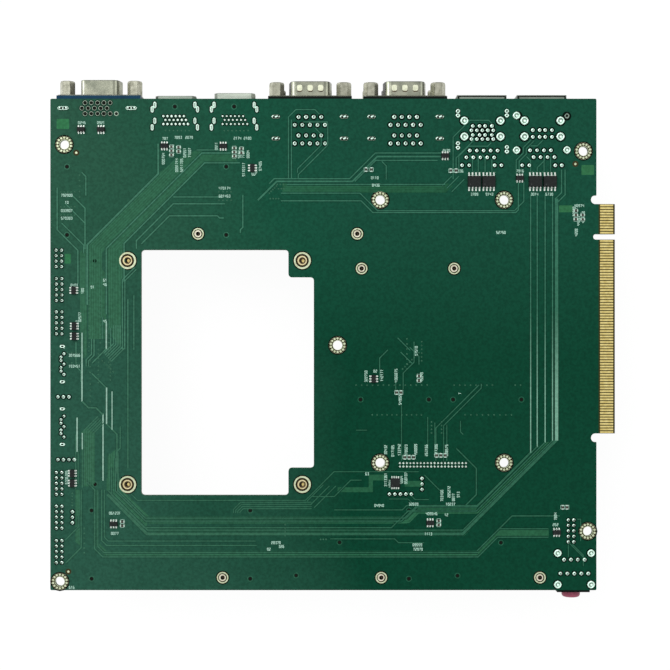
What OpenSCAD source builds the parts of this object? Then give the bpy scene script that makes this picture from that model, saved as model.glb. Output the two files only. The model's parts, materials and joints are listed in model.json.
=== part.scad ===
// Carrier board for a plug-in module: one laminate with a gold edge connector,
// a window under the module, a row of ports along one edge, an audio jack on the
// opposite edge and sockets, slots and headers on its component side.
//
// The board lies with its solder side up. In the board's own frame X runs along
// the port edge, Y points out of the ports and Z = 0 is the component side, so
// everything that is mounted on the board hangs below Z = 0. The finished frame
// is moved so that the origin lies under the middle of the whole assembly.

/* [Board] */
// Width of the board, without the edge connector
board_w = 200; // [198:1:260]
// Length of the board, from the audio edge to the port edge
board_l = 180; // [178:1:230]
// Thickness of the laminate
board_t = 1.6; // [1:0.1:2.4]
// Radius of the board's outer corners
board_corner_r = 0.5; // [0.2:0.1:3]

/* [Edge connector] */
// How far the tongue stands out of the board's right edge
tongue_reach = 6.8; // [6:0.1:12]
// Height of the key slot's middle above the audio edge
key_y = 129.4; // [100:0.1:135]
// Width of the key slot
key_w = 2; // [1.6:0.1:2.4]
// Depth of the key slot from the tongue's tip
key_depth = 8; // [7:0.1:10]
// Spacing of the contacts
contact_pitch = 1; // [0.8:0.05:1.1]
// Width of one contact
contact_w = 0.65; // [0.5:0.05:0.75]
// Length of one contact
contact_l = 4.8; // [3:0.1:5.4]
// Thickness of the contact plating
contact_t = 0.08; // [0.05:0.01:0.15]
// Contacts on the port side of the key slot
short_count = 11; // [6:1:11]
// Contacts on the audio side of the key slot
long_count = 71; // [20:1:71]
// Width of the relief notch at each end of the tongue
notch_w = 3.2; // [2:0.1:4]
// Depth of the relief notch into the board
notch_depth = 2; // [1.2:0.1:3]
// Length of the bevel at the tongue's tip
bevel_l = 0.7; // [0.4:0.1:1.2]

/* [Module window] */
// Left side of the window, from the board's left edge
window_x = 33.3; // [32.5:0.1:40]
// Width of the window
window_w = 63.2; // [40:0.1:80]
// Length of the window
window_l = 89.8; // [60:0.1:100]
// Width of the two tabs that carry the far module posts
tab_w = 9.3; // [8.6:0.1:14]
// Length of the two tabs
tab_l = 10; // [9:0.1:14]
// Radius in the corners of the window
window_corner_r = 1.2; // [0.5:0.1:3]

/* [Module slot] */
// Distance of the slot's locating pegs from the board's left edge
slot_x = 16.3; // [14:0.1:18]
// Height of the slot's middle above the audio edge
slot_y = 79.7; // [70:0.1:90]
// Spacing of the slot's locating pegs
slot_peg_pitch = 81.8; // [60:0.1:84]
// Length of the slot housing
slot_l = 86; // [64:0.5:90]
// Height of the slot housing under the board
slot_h = 8.2; // [6:0.1:10]
// Distance from the pegs to the near module posts
post_near = 12; // [10:0.1:14]
// Distance from the pegs to the far module posts
post_far = 76; // [60:0.1:90]
// Spacing of the module posts along the slot
post_pitch = 82; // [60:0.1:86]
// Height of the module posts under the board
post_h = 5; // [3:0.1:8]
// Radius of the module posts
post_r = 2.9; // [2.4:0.1:3.5]
// Radius of the threaded hole in a module post
post_thread_r = 1.25; // [1:0.05:1.6]

/* [Mounting holes] */
// Radius of the plated mounting holes
mount_r = 1.7; // [1.2:0.05:2]
// Radius of the gold land around a mounting hole
land_r = 3.1; // [2.6:0.1:4]
// Thickness of the gold lands
land_t = 0.08; // [0.05:0.01:0.15]
// Spacing of the four inner mounting holes along the port edge
inner_pitch_x = 45.4; // [30:0.1:50]
// Spacing of the four inner mounting holes across the board
inner_pitch_y = 96.3; // [90:0.1:110]

/* [Mini-card sockets] */
// Length of a mini-card socket
card_l = 30; // [28:0.5:34]
// Spacing of the socket's locating pegs
card_peg_pitch = 25; // [24:0.1:26]
// Depth of a mini-card socket
card_depth = 8.4; // [7:0.1:9]
// Height of a mini-card socket under the board
card_h = 5.6; // [4.5:0.1:8]
// Distance from the pegs to the card's nut
card_reach = 48; // [24:0.1:52]
// Offset of the card's nut from the socket's middle
card_nut_side = 12.1; // [10:0.1:14]
// Height of a card nut under the board
nut_h = 3; // [2:0.1:5]
// Radius of a card nut
nut_r = 2.5; // [2:0.1:3]
// Radius of the threaded hole in a card nut
nut_thread_r = 0.8; // [0.6:0.05:1.2]

/* [Port edge] */
// Middle of the analogue video port
analogue_x = 17.3; // [16.5:0.1:18]
// Middle of the first flat video port
flat_1_x = 45.6; // [42:0.1:47]
// Middle of the second flat video port
flat_2_x = 67.3; // [65:0.1:68]
// How far the first flat video port stands out of the edge
flat_1_reach = 1.3; // [1:0.1:3]
// How far the second flat video port stands out of the edge
flat_2_reach = 2.3; // [1:0.1:3]
// Middle of the first serial stack
serial_1_x = 95.05; // [94:0.05:97]
// Middle of the second serial stack
serial_2_x = 130.1; // [129:0.05:132]
// Height of a serial stack
serial_h = 31; // [30:0.1:38]
// Spacing of the two decks of a serial stack
deck_pitch = 15.9; // [14.5:0.1:17]
// Middle of the first network stack
network_1_x = 158.2; // [157:0.1:159]
// Middle of the second network stack
network_2_x = 180.2; // [179:0.1:182]
// Height of a network stack
network_h = 30.2; // [29:0.1:38]
// How far a network stack stands out of the edge
network_reach = 1.6; // [1:0.1:3]

/* [D-shaped ports] */
// Width of a flange
flange_w = 30.8; // [30.6:0.1:32]
// Height of a flange
flange_h = 12.5; // [11.5:0.1:13]
// Thickness of a flange
flange_t = 0.5; // [0.4:0.1:1]
// Spacing of the two jackscrews of a port
jack_pitch = 25; // [24.6:0.1:25.4]
// Width across the flats of a jackscrew
jack_af = 4.8; // [4.4:0.1:5]
// Length of a jackscrew's hexagon
jack_l = 5.6; // [4:0.1:7]
// Width of the nine-pin shell on its wide side
shell9_w = 16.9; // [16:0.1:17.4]
// Height of the nine-pin shell
shell9_h = 8.3; // [7.8:0.1:8.8]
// Width of the fifteen-pin shell on its wide side
shell15_w = 16.3; // [15.6:0.1:17]
// Height of the fifteen-pin shell
shell15_h = 7.9; // [7.4:0.1:8.4]
// How far a shell stands out of its flange
shell_reach = 5.6; // [4:0.1:7]
// Wall of a shell
shell_t = 0.4; // [0.3:0.05:0.8]

/* [Audio jack] */
// Distance of the audio jack's middle from the board's right edge
audio_inset = 8.1; // [7:0.1:20]
// Width of the audio jack
audio_w = 12.6; // [11:0.1:13]
// Height of the audio jack
audio_h = 24.4; // [22:0.1:28]
// Spacing of its two sockets
audio_pitch = 12; // [10:0.1:13]
// Radius of a coloured barrel
barrel_r = 3.4; // [3:0.1:4]
// How far a barrel stands out of the jack's face
barrel_reach = 2.6; // [1.5:0.1:4]

/* [Pins] */
// How far the pins stand out of the solder side
tail_out = 1.2; // [0.6:0.1:2]
// Gap between a pin's corners and its hole in the board
pin_clear = 0.12; // [0.05:0.01:0.2]
// Gap between a pin and the plastic that holds it
seat_clear = 0.03; // [0.01:0.01:0.08]
// Spacing of the pin headers
header_pitch = 2; // [1.8:0.05:2.2]
// Height of a header's plastic base
header_base_h = 2; // [1.5:0.1:3]
// Length of a header pin below its base
header_pin_h = 4; // [3:0.1:6]

/* [Hidden] */

$fn = 32;
root2 = sqrt(2);
// Small overlap of one cut with the next, never a visible size
cut = 1;

// Heights of the two faces of the board
solder_z = board_t;
pin_top = solder_z + tail_out;
// How far the shorter tails stand out: flush pins, small pins and stamped legs
flush_out = 0.2;
short_out = 0.3;
leg_out = 0.5;
pin_out = 0.6;
long_out = 0.9;

// Places of the paired connectors
flat_x = [flat_1_x, flat_2_x];
flat_reach = [flat_1_reach, flat_2_reach];
serial_x = [serial_1_x, serial_2_x];
network_x = [network_1_x, network_2_x];

// Middle of the whole assembly, which becomes the origin
flange_front = 1.2;
analogue_face = 1.5;
port_reach = max(flange_front, analogue_face) + flange_t + shell_reach;
audio_face = 1.1;
audio_reach = audio_face + barrel_reach;
tallest = max(serial_h, network_h, audio_h);
middle_x = (board_w + tongue_reach) / 2;
middle_y = (board_l + port_reach - audio_reach) / 2;

// Edge connector
short_end_y = key_y + 1.5 * contact_pitch + (short_count - 1) * contact_pitch + 0.5 * contact_pitch;
long_end_y = key_y - 1.5 * contact_pitch - (long_count - 1) * contact_pitch - 0.5 * contact_pitch;
contact_x = board_w + tongue_reach - bevel_l - contact_l;
contact_ys = concat(
    [for (i = [0 : short_count - 1]) key_y + (1.5 + i) * contact_pitch],
    [for (i = [0 : long_count - 1]) key_y - (1.5 + i) * contact_pitch]
);

// Mounting holes: corners, the four around the processor area and a lone one
corner_holes = [[5.1, board_l - 16.8], [board_w - 4.8, board_l - 19.2], [3.5, 3.2], [board_w - 3.2, 21.6]];
inner_x = 143.5;
inner_y = 94.8;
inner_holes = [
    for (sx = [-0.5, 0.5], sy = [-0.5, 0.5])
        [inner_x + sx * inner_pitch_x, inner_y + sy * inner_pitch_y]
];
lone_hole = [105.2, 89.7];
mount_holes = concat(corner_holes, inner_holes, [lone_hole]);
post_places = [for (d = [post_near, post_far], s = [-0.5, 0.5]) [slot_x + d, slot_y + s * post_pitch]];
post_shank_r = 2;
post_chamfer = 0.3;
// How far a pressed shank stands out of the solder side
shank_out = 0.1;
// Ring of land around a shank, and the bare gap inside it
shank_land = 0.6;
shank_gap = 0.15;

// Mini-card sockets: place of the middle of the peg line, and the turn of the card
card_places = [
    [6.1, board_l - 37.4, 0], [64.4, board_l - 37.4, 0],
    [15.1, 16.7, 0], [73.2, 16.7, 0], [131.3, 16.7, 0],
    [126.1, 69.8, 90], [160, 69.8, 90],
];
function turned(v, a) = [v.x * cos(a) - v.y * sin(a), v.x * sin(a) + v.y * cos(a)];
card_nuts_at = [
    for (c = card_places)
        let (side = c.z == 0 ? -card_nut_side : card_nut_side)
        [c.x, c.y] + turned([card_reach, side], c.z)
];
card_pegs = [for (c = card_places, s = [-0.5, 0.5]) [c.x, c.y] + turned([0, s * card_peg_pitch], c.z)];
card_peg_r = 0.55;
nut_shank_r = 1.5;

// Rows of pins, measured from a connector's own middle
function row(n, pitch, x, y) = [for (i = [0 : n - 1]) [x + (i - (n - 1) / 2) * pitch, y]];
function grid(nx, ny, pitch, at) = [
    for (i = [0 : nx - 1], j = [0 : ny - 1])
        [at.x + (i - (nx - 1) / 2) * pitch, at.y + (j - (ny - 1) / 2) * pitch]
];
function moved(points, by) = [for (p = points) [p.x + by.x, p.y + by.y]];
function with_r(points, r) = [for (p = points) [p.x, p.y, r]];
function hole_for(w) = w / root2 + pin_clear;

// Details shared by the D-shaped shells and their jackscrews
flange_r = 1.2;
flange_hole_r = 1.6;
dimple_r = 2.6;
dimple_depth = 0.25;
dimple_pitch = 3.9;
stud_r = 1.4;
stud_clear = 0.1;
jack_thread_r = 1.15;
jack_thread_l = 4;
analogue_stud_l = 5;
serial_stud_l = 4.4;
// Round pins inside the D-shaped shells, set back from the shell's rim
round_pin_r = 0.5;
rim_setback = 0.6;

// Fifteen-pin analogue video port
analogue_pitch = 2.3;
analogue_rows = concat(
    row(5, analogue_pitch, 0, -1.5),
    row(5, analogue_pitch, -analogue_pitch / 2, -3.5),
    row(5, analogue_pitch, 0, -5.5)
);
analogue_pins_at = moved(analogue_rows, [analogue_x, board_l]);
analogue_pin_w = 0.6;
analogue_depth = 8.4;
analogue_body_w = 20.8;
analogue_body_h = 11.4;
analogue_step = 1.6;
// Spacing of the contact rows in the nose, and the depth of a contact's hole
analogue_row_gap = 1.98;
analogue_hole_depth = 5.2;
analogue_lock_y = -3.5;
analogue_lock_d = 5.4;
analogue_lock_h = 3.2;
// Middle of the port under the board, and the front of its nose
analogue_z = -flange_h / 2 - 0.2;
analogue_nose_y = analogue_face + flange_t + shell_reach - rim_setback;
// The nose that carries the contacts is smaller than the shell around it
nose_inset = 2 * shell_t + 0.4;

// Flat video ports
flat_pitch = 1.5;
flat_rows = concat(
    row(6, flat_pitch, -0.45, -6.4),
    row(6, flat_pitch, 0.3, -7.8),
    row(7, flat_pitch, 0.3, -9.3)
);
flat_pin_w = 0.3;
flat_tabs = [[7.35, -2.3], [8.3, -3.9], [7.35, -8.1], [8.3, -10.5]];
flat_peg = [0, -2.9];
flat_peg_r = 0.55;
flat_depth = 11.4;
flat_w = 14.9;
flat_h = 6.2;
flat_t = 0.35;
// Legs of the shell: thickness, length and the bend under the board
flat_tab_t = 0.3;
flat_tab_l = 1.4;
flat_tab_foot = -2.2;
flat_lean = 1.5;
flat_inner_lean = 1.3;
flat_window = [2, 3.4];
flat_window_x = 3.6;
flat_window_y = -2.9;
// Tongue with its contacts
flat_fit = 0.05;
flat_floor = 3.8;
flat_tongue = [11.2, 1.1];
flat_tongue_z = -2.75;
flat_tongue_setback = 0.9;
flat_contact_w = 0.45;
flat_contact_t = 0.06;
flat_contact_pitch = 1;

// Serial stacks: inward place of each leg row, nearest deck first
serial_pitch = 2.77;
serial_row_gap = 2.84;
serial_legs = [-6.7, -9.6, -13.5, -16.4];
serial_pin_w = 0.6;
serial_depth = 18.6;
serial_wall = 5.4;
serial_comb = 2;
lower_deck = serial_h / 2 - deck_pitch / 2;
upper_deck = serial_h / 2 + deck_pitch / 2;
// Height of each contact row: the narrow side of the shell faces the board
serial_rows = [
    [4, lower_deck - serial_row_gap / 2, serial_legs[0]],
    [5, lower_deck + serial_row_gap / 2, serial_legs[1]],
    [4, upper_deck - serial_row_gap / 2, serial_legs[2]],
    [5, upper_deck + serial_row_gap / 2, serial_legs[3]],
];
serial_pins = [for (r = serial_rows) each row(r[0], serial_pitch, 0, r[2])];
serial_lock_y = [-6.6, -14.6];
serial_comb_w = 22;
// Wall behind each end of the front block
serial_cheek_t = 1.5;
// Board locks of the D-shaped ports
lock_x = 12.5;
lock_l = 2.6;
lock_w = 0.9;
strap_z = -1.6;
strap_t = 0.8;

// Network stacks: two ports for the bus below a network jack
bus_pins = [-3.5, -1, 1, 3.5];
network_1_rows = concat(
    [for (x = bus_pins) [x, -10]], row(5, 2, 0, -11.6),
    [for (x = bus_pins) [x, -13.3]], row(5, 2, 0, -14.8),
    row(5, 2.54, 0.5, -19), row(5, 2.54, -0.75, -21.5),
    [[-7.4, -24.4], [-4.8, -24.4], [4.5, -24.4], [7, -24.4]]
);
network_2_rows = concat(
    [for (x = bus_pins) [x, -11.5]], [for (x = bus_pins) [x, -14]],
    row(4, 2.54, -0.7, -18.9), row(4, 2.54, 0.6, -21.4),
    [[-7.4, -24.4], [-4.8, -24.4], [4.7, -24.4], [7.1, -24.4]]
);
network_rows = [network_1_rows, network_2_rows];
network_pin_w = 0.45;
network_pegs = [[6.6, -8.1], [6.6, -13.9]];
network_peg_r = 1.1;
network_w = 18.2;
network_depth = 26.2;
network_t = 0.3;
network_gap = 0.05;
leg_w = 2.2;
leg_x = network_w / 2 - network_t / 2;
network_lip = 0.2;
network_face = network_reach - network_t - network_gap;
network_legs = [[-5.4, -5.4, -17.2, -18.6], [-6.2, -6.4, -18.9, -18.8]];

// Audio jack
audio_x = board_w - audio_inset;
audio_rows = concat(row(4, 2.5, 0, -11.2), row(5, 2.55, 0, -6.1));
audio_pin_w = 0.6;
audio_depth = 15.4;
audio_pegs = [[-6.1, -13.6], [6.1, -13.6], [-6.1, -2.1], [6.1, -2.1]];
audio_peg_r = 1;
audio_bore_r = 1.85;
audio_decks = [audio_h / 2 - audio_pitch / 2, audio_h / 2 + audio_pitch / 2];
audio_bezel = 0.3;
audio_bezel_t = 0.8;
audio_back_wall = 1.6;
audio_step = 3;
audio_groove = 0.6;
barrel_nose = 1;

// Storage ports
storage_places = [[4.45, 82.8], [4.45, 59.9]];
storage_pitch = 1.27;
storage_pins = [for (i = [-3 : 3]) [i == 0 || abs(i) == 3 ? 0.55 : -0.55, i * storage_pitch]];
storage_pegs = [[0, 6.5], [0, -6.5]];
storage_peg_r = 0.7;
storage_pin_w = 0.4;

// Two-row headers: columns, rows and middle
header_w = 0.5;
headers = [
    [2, 4, [3.1, 121.5]], [2, 5, [3.2, 110.1]], [2, 5, [3.2, 97.9]],
    [2, 5, [3.2, 39.1]], [2, 5, [3.2, 26.7]], [2, 5, [3.2, 14.1]],
    [2, 5, [board_w - 9.3, 21.7]],
];
header_points = [for (h = headers) each grid(h[0], h[1], header_pitch, h[2])];

// Single-row wafer connectors: pin count, middle and turn
wafers = [
    [3, [4.8, 70.8], 0], [4, [5.8, 47.8], 0], [3, [8.1, 26.7], 90],
    [3, [136.1, 38.9], 90], [5, [128.2, 35.2], 0],
];
wafer_points = [
    for (w = wafers, p = row(w[0], header_pitch, 0, 0)) w[1] + turned(p, w[2])
];

// Fine header: two rows of twenty
fine_pitch = 1.27;
fine_count = 20;
fine_at = [140.1, 45.9];
fine_points = grid(fine_count, 2, fine_pitch, fine_at);
fine_w = 0.35;

// Locating pegs of the two card holders
sim_places = [[97.95, 11.45], [157.05, 11.35]];
sim_peg = [7.95, 6.05];
sim_pegs = [for (s = sim_places, k = [-1, 1]) s + k * sim_peg];
sim_peg_r = 0.5;

// Chips on the solder side
small_outline_at = [[155.25, 149.6], [160.5, 149.6], [177.55, 149.6], [182.9, 149.6]];
clamp_at = [
    [11.3, 168.7], [18.6, 168.7], [41.8, 162.7], [63.3, 162.6], [144.6, 159.1], [171.9, 150.9],
    [23.2, 24.3], [139.1, 24.7], [185.4, 21.2],
];
clamp_turned_at = [
    [74, 154.6], [8.6, 109.8], [8.8, 96.7], [8.8, 93], [8.1, 42.8], [8.1, 39.2], [118.4, 77.4],
];
driver_at = [126.3, 39.4];

peg_clear = 0.1;
post_clear = 0.05;

// ---------------------------------------------------------------- shapes

// The assembly's own frame, with the origin under its middle
module framed() {
    translate([-middle_x, -middle_y, tallest]) children();
}

function unit(v) = v / norm(v);

// The arc that replaces corner b of an outline that runs from a over b to c
function corner_arc(a, b, c, r, n) =
    let (
        u = unit(a - b),
        v = unit(c - b),
        half = acos(u * v) / 2,
        centre = b + unit(u + v) * r / sin(half),
        from = b + u * r / tan(half) - centre,
        to = b + v * r / tan(half) - centre,
        start = atan2(from.y, from.x),
        sweep = (atan2(to.y, to.x) - start + 540) % 360 - 180
    )
    [for (i = [0 : n]) centre + r * [cos(start + sweep * i / n), sin(start + sweep * i / n)]];

// An outline with every corner rounded to the same radius
function rounded(points, r, n = 4) =
    let (count = len(points))
    [
        for (i = [0 : count - 1])
            each corner_arc(points[(i + count - 1) % count], points[i], points[(i + 1) % count], r, n)
    ];

// A rectangle from its lowest corner, for the outlines above
function frame_of(w, h) = [[0, 0], [w, 0], [w, h], [0, h]];

// The D outline of a shell: wide side down, narrow side towards the board
function d_outline(w, h, r) =
    let (lean = h * tan(10))
    rounded([[-w / 2, -h / 2], [w / 2, -h / 2], [w / 2 - lean, h / 2], [-w / 2 + lean, h / 2]], r);

// Square pins from below the board to above the solder side
module tails(points, w, from, to = pin_top) {
    for (p = points) translate([p.x - w / 2, p.y - w / 2, from]) cube([w, w, to - from]);
}

// Round pegs that stand in the board
module pegs(points, r, out = 0.4) {
    for (p = points) translate([p.x, p.y, 0]) cylinder(r = r, h = solder_z + out);
}

// A slot with round ends, along Y, or along X when turned
module pill(w, l) {
    square([w, l - w], center = true);
    for (s = [-1, 1]) translate([0, s * (l - w) / 2]) circle(d = w);
}

// Something drawn in X and Z, extruded towards +Y from y
module upright(y, depth) {
    translate([0, y + depth, 0]) rotate([90, 0, 0]) linear_extrude(depth) children();
}

// A box from its smallest corner to its largest
module block(a, b) {
    translate(a) cube(b - a);
}

// ---------------------------------------------------------------- board

module board_outline() {
    difference() {
        union() {
            polygon(rounded(frame_of(board_w, board_l), board_corner_r));
            translate([board_w - cut, long_end_y]) square([cut + tongue_reach, short_end_y - long_end_y]);
        }
        for (s = [0, 1]) translate([board_w, s == 0 ? long_end_y - notch_w : short_end_y]) relief_notch();
        translate([board_w + tongue_reach, key_y]) key_slot();
    }
}

// A notch beside the tongue, open to the right with round inner corners
module relief_notch() {
    r = notch_w / 2;
    translate([r - notch_depth, 0]) square([notch_depth + cut - r, notch_w]);
    translate([r - notch_depth, r]) circle(r = r);
}

module key_slot() {
    translate([key_w / 2 - key_depth, -key_w / 2]) square([key_depth, key_w]);
    translate([key_w / 2 - key_depth, 0]) circle(d = key_w);
}

// The window: a rectangle less the two tabs that carry the far posts
module module_window() {
    low = slot_y - window_l / 2;
    high = slot_y + window_l / 2;
    right = window_x + window_w;
    inner = right - tab_w;
    polygon(rounded([
        [window_x, low], [inner, low], [inner, low + tab_l], [right, low + tab_l],
        [right, high - tab_l], [inner, high - tab_l], [inner, high], [window_x, high],
    ], window_corner_r));
}

board_holes = concat(
    with_r(mount_holes, mount_r),
    with_r(post_places, post_shank_r + post_clear),
    with_r(card_nuts_at, nut_shank_r + post_clear),
    with_r(card_pegs, card_peg_r + peg_clear),
    with_r([for (s = [-0.5, 0.5]) [slot_x, slot_y + s * slot_peg_pitch]], card_peg_r + peg_clear),
    with_r(analogue_pins_at, hole_for(analogue_pin_w)),
    with_r([for (x = flat_x, p = flat_rows) [x + p.x, board_l + p.y]], hole_for(flat_pin_w)),
    with_r([for (x = flat_x) [x + flat_peg.x, board_l + flat_peg.y]], flat_peg_r + peg_clear),
    with_r([for (x = serial_x, p = serial_pins) [x + p.x, board_l + p.y]], hole_for(serial_pin_w)),
    with_r(
        [for (i = [0, 1], p = network_rows[i]) [network_x[i] + p.x, board_l + p.y]],
        hole_for(network_pin_w)
    ),
    with_r(
        [for (x = network_x, p = network_pegs, s = [-1, 1]) [x + s * p.x, board_l + p.y]],
        network_peg_r + peg_clear
    ),
    with_r([for (p = audio_rows) [audio_x + p.x, -p.y]], hole_for(audio_pin_w)),
    with_r([for (p = audio_pegs) [audio_x + p.x, -p.y]], audio_peg_r + peg_clear),
    with_r([for (s = storage_places, p = storage_pins) s + p], hole_for(storage_pin_w)),
    with_r([for (s = storage_places, p = storage_pegs) s + p], storage_peg_r + peg_clear),
    with_r(header_points, hole_for(header_w)),
    with_r(wafer_points, hole_for(header_w)),
    with_r(fine_points, hole_for(fine_w)),
    with_r(sim_pegs, sim_peg_r + peg_clear)
);

// The legs of a network cage alternate between its left and right wall
function leg_side(k) = k % 2 == 0 ? -1 : 1;

// Slots for the flat legs: place, width and length, with room around the leg
slot_room = 0.5;
lock_slot = [lock_l + slot_room, lock_w + slot_room];
leg_slot = [network_t + slot_room, leg_w + slot_room];
tab_slot = [flat_tab_t + 0.4, flat_tab_l + slot_room];
board_slots = concat(
    [for (x = flat_x, s = [-1, 1], t = flat_tabs) [x + s * t.x, board_l + t.y, each tab_slot]],
    [for (x = serial_x, s = [-1, 1], y = serial_lock_y) [x + s * lock_x, board_l + y, each lock_slot]],
    [for (s = [-1, 1]) [analogue_x + s * lock_x, board_l + analogue_lock_y, each lock_slot]],
    [
        for (i = [0, 1], k = [0 : 3])
            [network_x[i] + leg_side(k) * leg_x, board_l + network_legs[i][k], each leg_slot]
    ]
);

module circuit_board() {
    color("#1c5a43") difference() {
        linear_extrude(board_t) difference() {
            board_outline();
            module_window();
            for (h = board_holes) translate([h.x, h.y]) circle(r = h.z);
            for (s = board_slots) translate([s.x, s.y]) {
                if (s[2] < s[3]) pill(s[2], s[3]);
                else rotate(90) pill(s[3], s[2]);
            }
        }
        for (side = [0, 1]) tip_bevel(side);
    }
}

// The slope at the tip of the tongue, on the lower or the upper face
module tip_bevel(side) {
    drop = board_t / 4;
    tip = board_w + tongue_reach;
    face = side * board_t;
    inward = side == 0 ? drop : -drop;
    outward = side == 0 ? -cut : cut;
    translate([0, short_end_y + cut, 0]) rotate([90, 0, 0]) linear_extrude(short_end_y - long_end_y + 2 * cut)
        polygon([
            [tip - bevel_l, face], [tip, face + inward], [tip + cut, face + inward],
            [tip + cut, face + outward], [tip - bevel_l, face + outward],
        ]);
}

module edge_contacts() {
    color("#d9b872") for (y = contact_ys, z = [-contact_t, board_t])
        translate([contact_x, y - contact_w / 2, z]) cube([contact_l, contact_w, contact_t]);
}

module land(p, outer, inner, z = board_t) {
    translate([p.x, p.y, z]) difference() {
        cylinder(r = outer, h = land_t);
        translate([0, 0, -cut]) cylinder(r = inner, h = land_t + 2 * cut);
    }
}

module mounting_lands() {
    color("#d8c08a") {
        for (p = mount_holes, z = [-land_t, board_t]) land(p, land_r, mount_r, z);
        for (p = post_places) land(p, land_r, post_shank_r + 2 * shank_gap);
        for (p = card_nuts_at) land(p, nut_shank_r + shank_land, nut_shank_r + shank_gap);
    }
}

// A turned post with a shank that is pressed into the board and threaded through
module threaded_post(p, r, h, shank_r, thread_r) {
    translate([p.x, p.y, 0]) rotate_extrude() polygon([
        [thread_r, -h], [r - post_chamfer, -h], [r, post_chamfer - h], [r, 0],
        [shank_r, 0], [shank_r, board_t + shank_out], [thread_r, board_t + shank_out],
    ]);
}

module module_posts() {
    color("#c9a24c") for (p = post_places) threaded_post(p, post_r, post_h, post_shank_r, post_thread_r);
}

module card_nuts() {
    color("#d5cfbf") for (p = card_nuts_at) threaded_post(p, nut_r, nut_h, nut_shank_r, nut_thread_r);
}

// ---------------------------------------------------------------- D-shaped ports

// Flange plate with its D skirt; y is the plate's back face and z its middle
module d_shell(w, h, y, z, plate_h, dimples) {
    corner = h * 0.28;
    depth = flange_t + shell_reach;
    inner = d_outline(w - 2 * shell_t, h - 2 * shell_t, corner - shell_t);
    translate([0, 0, z]) difference() {
        union() {
            upright(y, flange_t) translate([-flange_w / 2, -plate_h / 2])
                polygon(rounded(frame_of(flange_w, plate_h), flange_r));
            upright(y, depth) polygon(d_outline(w, h, corner));
        }
        upright(y - cut, depth + 2 * cut) polygon(inner);
        for (s = [-1, 1]) translate([s * jack_pitch / 2, y - cut, 0]) rotate([-90, 0, 0])
            cylinder(r = flange_hole_r, h = flange_t + 2 * cut);
        if (dimples) for (x = [-1 : 1], s = [-1, 1]) {
            out = h / 2 + dimple_r - dimple_depth;
            translate([x * dimple_pitch, y + flange_t + shell_reach * 0.55, s * out]) sphere(r = dimple_r);
        }
    }
}

// A hexagonal jackscrew with its stud behind the flange
module jackscrew(x, y, z, stud) {
    translate([x, y, z]) rotate([-90, 0, 0]) difference() {
        union() {
            translate([0, 0, -stud]) cylinder(r = stud_r, h = stud);
            intersection() {
                cylinder(d = jack_af / cos(30), h = jack_l, $fn = 6);
                cylinder(r1 = jack_af, r2 = jack_af * 0.53, h = jack_l);
            }
        }
        translate([0, 0, jack_l - jack_thread_l]) cylinder(r = jack_thread_r, h = jack_thread_l + cut);
    }
}

// Hole for a jackscrew's stud
module stud_hole(x, y, z, depth) {
    translate([x, y - depth, z]) rotate([-90, 0, 0]) cylinder(r = stud_r + stud_clear, h = depth + cut);
}

module analogue_port_housing() {
    half = analogue_body_w / 2;
    nose = d_outline(shell15_w - nose_inset, shell15_h - nose_inset, 1.7);
    color("#2b4f86") translate([analogue_x, board_l, 0]) difference() {
        union() {
            block([-flange_w / 2, -analogue_step, -flange_h - 0.4], [flange_w / 2, analogue_face, 0]);
            block([-half, -analogue_depth, -analogue_body_h], [half, cut - analogue_step, 0]);
            for (s = [-1, 1]) translate([s * lock_x, 0, 0])
                block([-2.9, -analogue_lock_d, -analogue_lock_h], [2.9, cut - analogue_step, 0]);
            translate([0, 0, analogue_z]) upright(analogue_face - cut, analogue_nose_y - analogue_face + cut)
                polygon(nose);
        }
        for (r = [-1 : 1], i = [-2 : 2]) analogue_contact_hole(i, r);
        for (s = [-1, 1]) stud_hole(s * jack_pitch / 2, analogue_face, analogue_z, analogue_stud_l + 0.4);
    }
}

// One of the nose's holes; the middle row is set half a pitch aside
module analogue_contact_hole(i, r) {
    x = (i - (r == 0 ? 0.5 : 0)) * analogue_pitch;
    z = analogue_z + r * analogue_row_gap;
    translate([x, analogue_nose_y - analogue_hole_depth, z]) rotate([-90, 0, 0])
        cylinder(r = round_pin_r, h = analogue_hole_depth + cut, $fn = 16);
}

// The shell has split board locks, two prongs on each side
module analogue_port_shell() {
    prong = 1;
    spread = 0.8;
    color("#b5b0a2") translate([analogue_x, board_l, 0]) {
        d_shell(shell15_w, shell15_h, analogue_face, analogue_z, flange_h - 2.2, false);
        for (s = [-1, 1], k = [-1, 1]) translate([s * lock_x + k * spread, analogue_lock_y, 0])
            block([-prong / 2, -lock_w / 2, 0], [prong / 2, lock_w / 2, board_t + pin_out]);
    }
}

module analogue_port_jackscrews() {
    color("#c3bba6") translate([analogue_x, board_l, 0]) for (s = [-1, 1])
        jackscrew(s * jack_pitch / 2, analogue_face + flange_t, analogue_z, analogue_stud_l);
}

module analogue_port_pins() {
    color("#b9b9b4") tails(analogue_pins_at, analogue_pin_w, 0, board_t + flush_out);
}

// ---------------------------------------------------------------- serial stacks

module serial_housing(x) {
    back = flange_front - serial_wall;
    hole = serial_pin_w / 2 + seat_clear;
    comb = serial_comb_w / 2;
    color("#1d1e1f") translate([x, board_l, 0]) difference() {
        union() {
            block([-flange_w / 2, back, -serial_h], [flange_w / 2, flange_front, 0]);
            for (s = [0, 1]) mirror([s, 0, 0]) serial_cheek(back);
            block([-comb, -serial_depth, -serial_comb], [comb, back + cut, 0]);
        }
        for (r = serial_rows, p = row(r[0], serial_pitch, 0, 0)) {
            block([p.x - hole, back - cut, -r[1] - hole], [p.x + hole, flange_front + cut, -r[1] + hole]);
            block([p.x - hole, r[2] - hole, -serial_comb - cut], [p.x + hole, r[2] + hole, cut]);
        }
        for (s = [-1, 1], z = [lower_deck, upper_deck])
            stud_hole(s * jack_pitch / 2, flange_front, -z, serial_stud_l + 0.2);
    }
}

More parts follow.
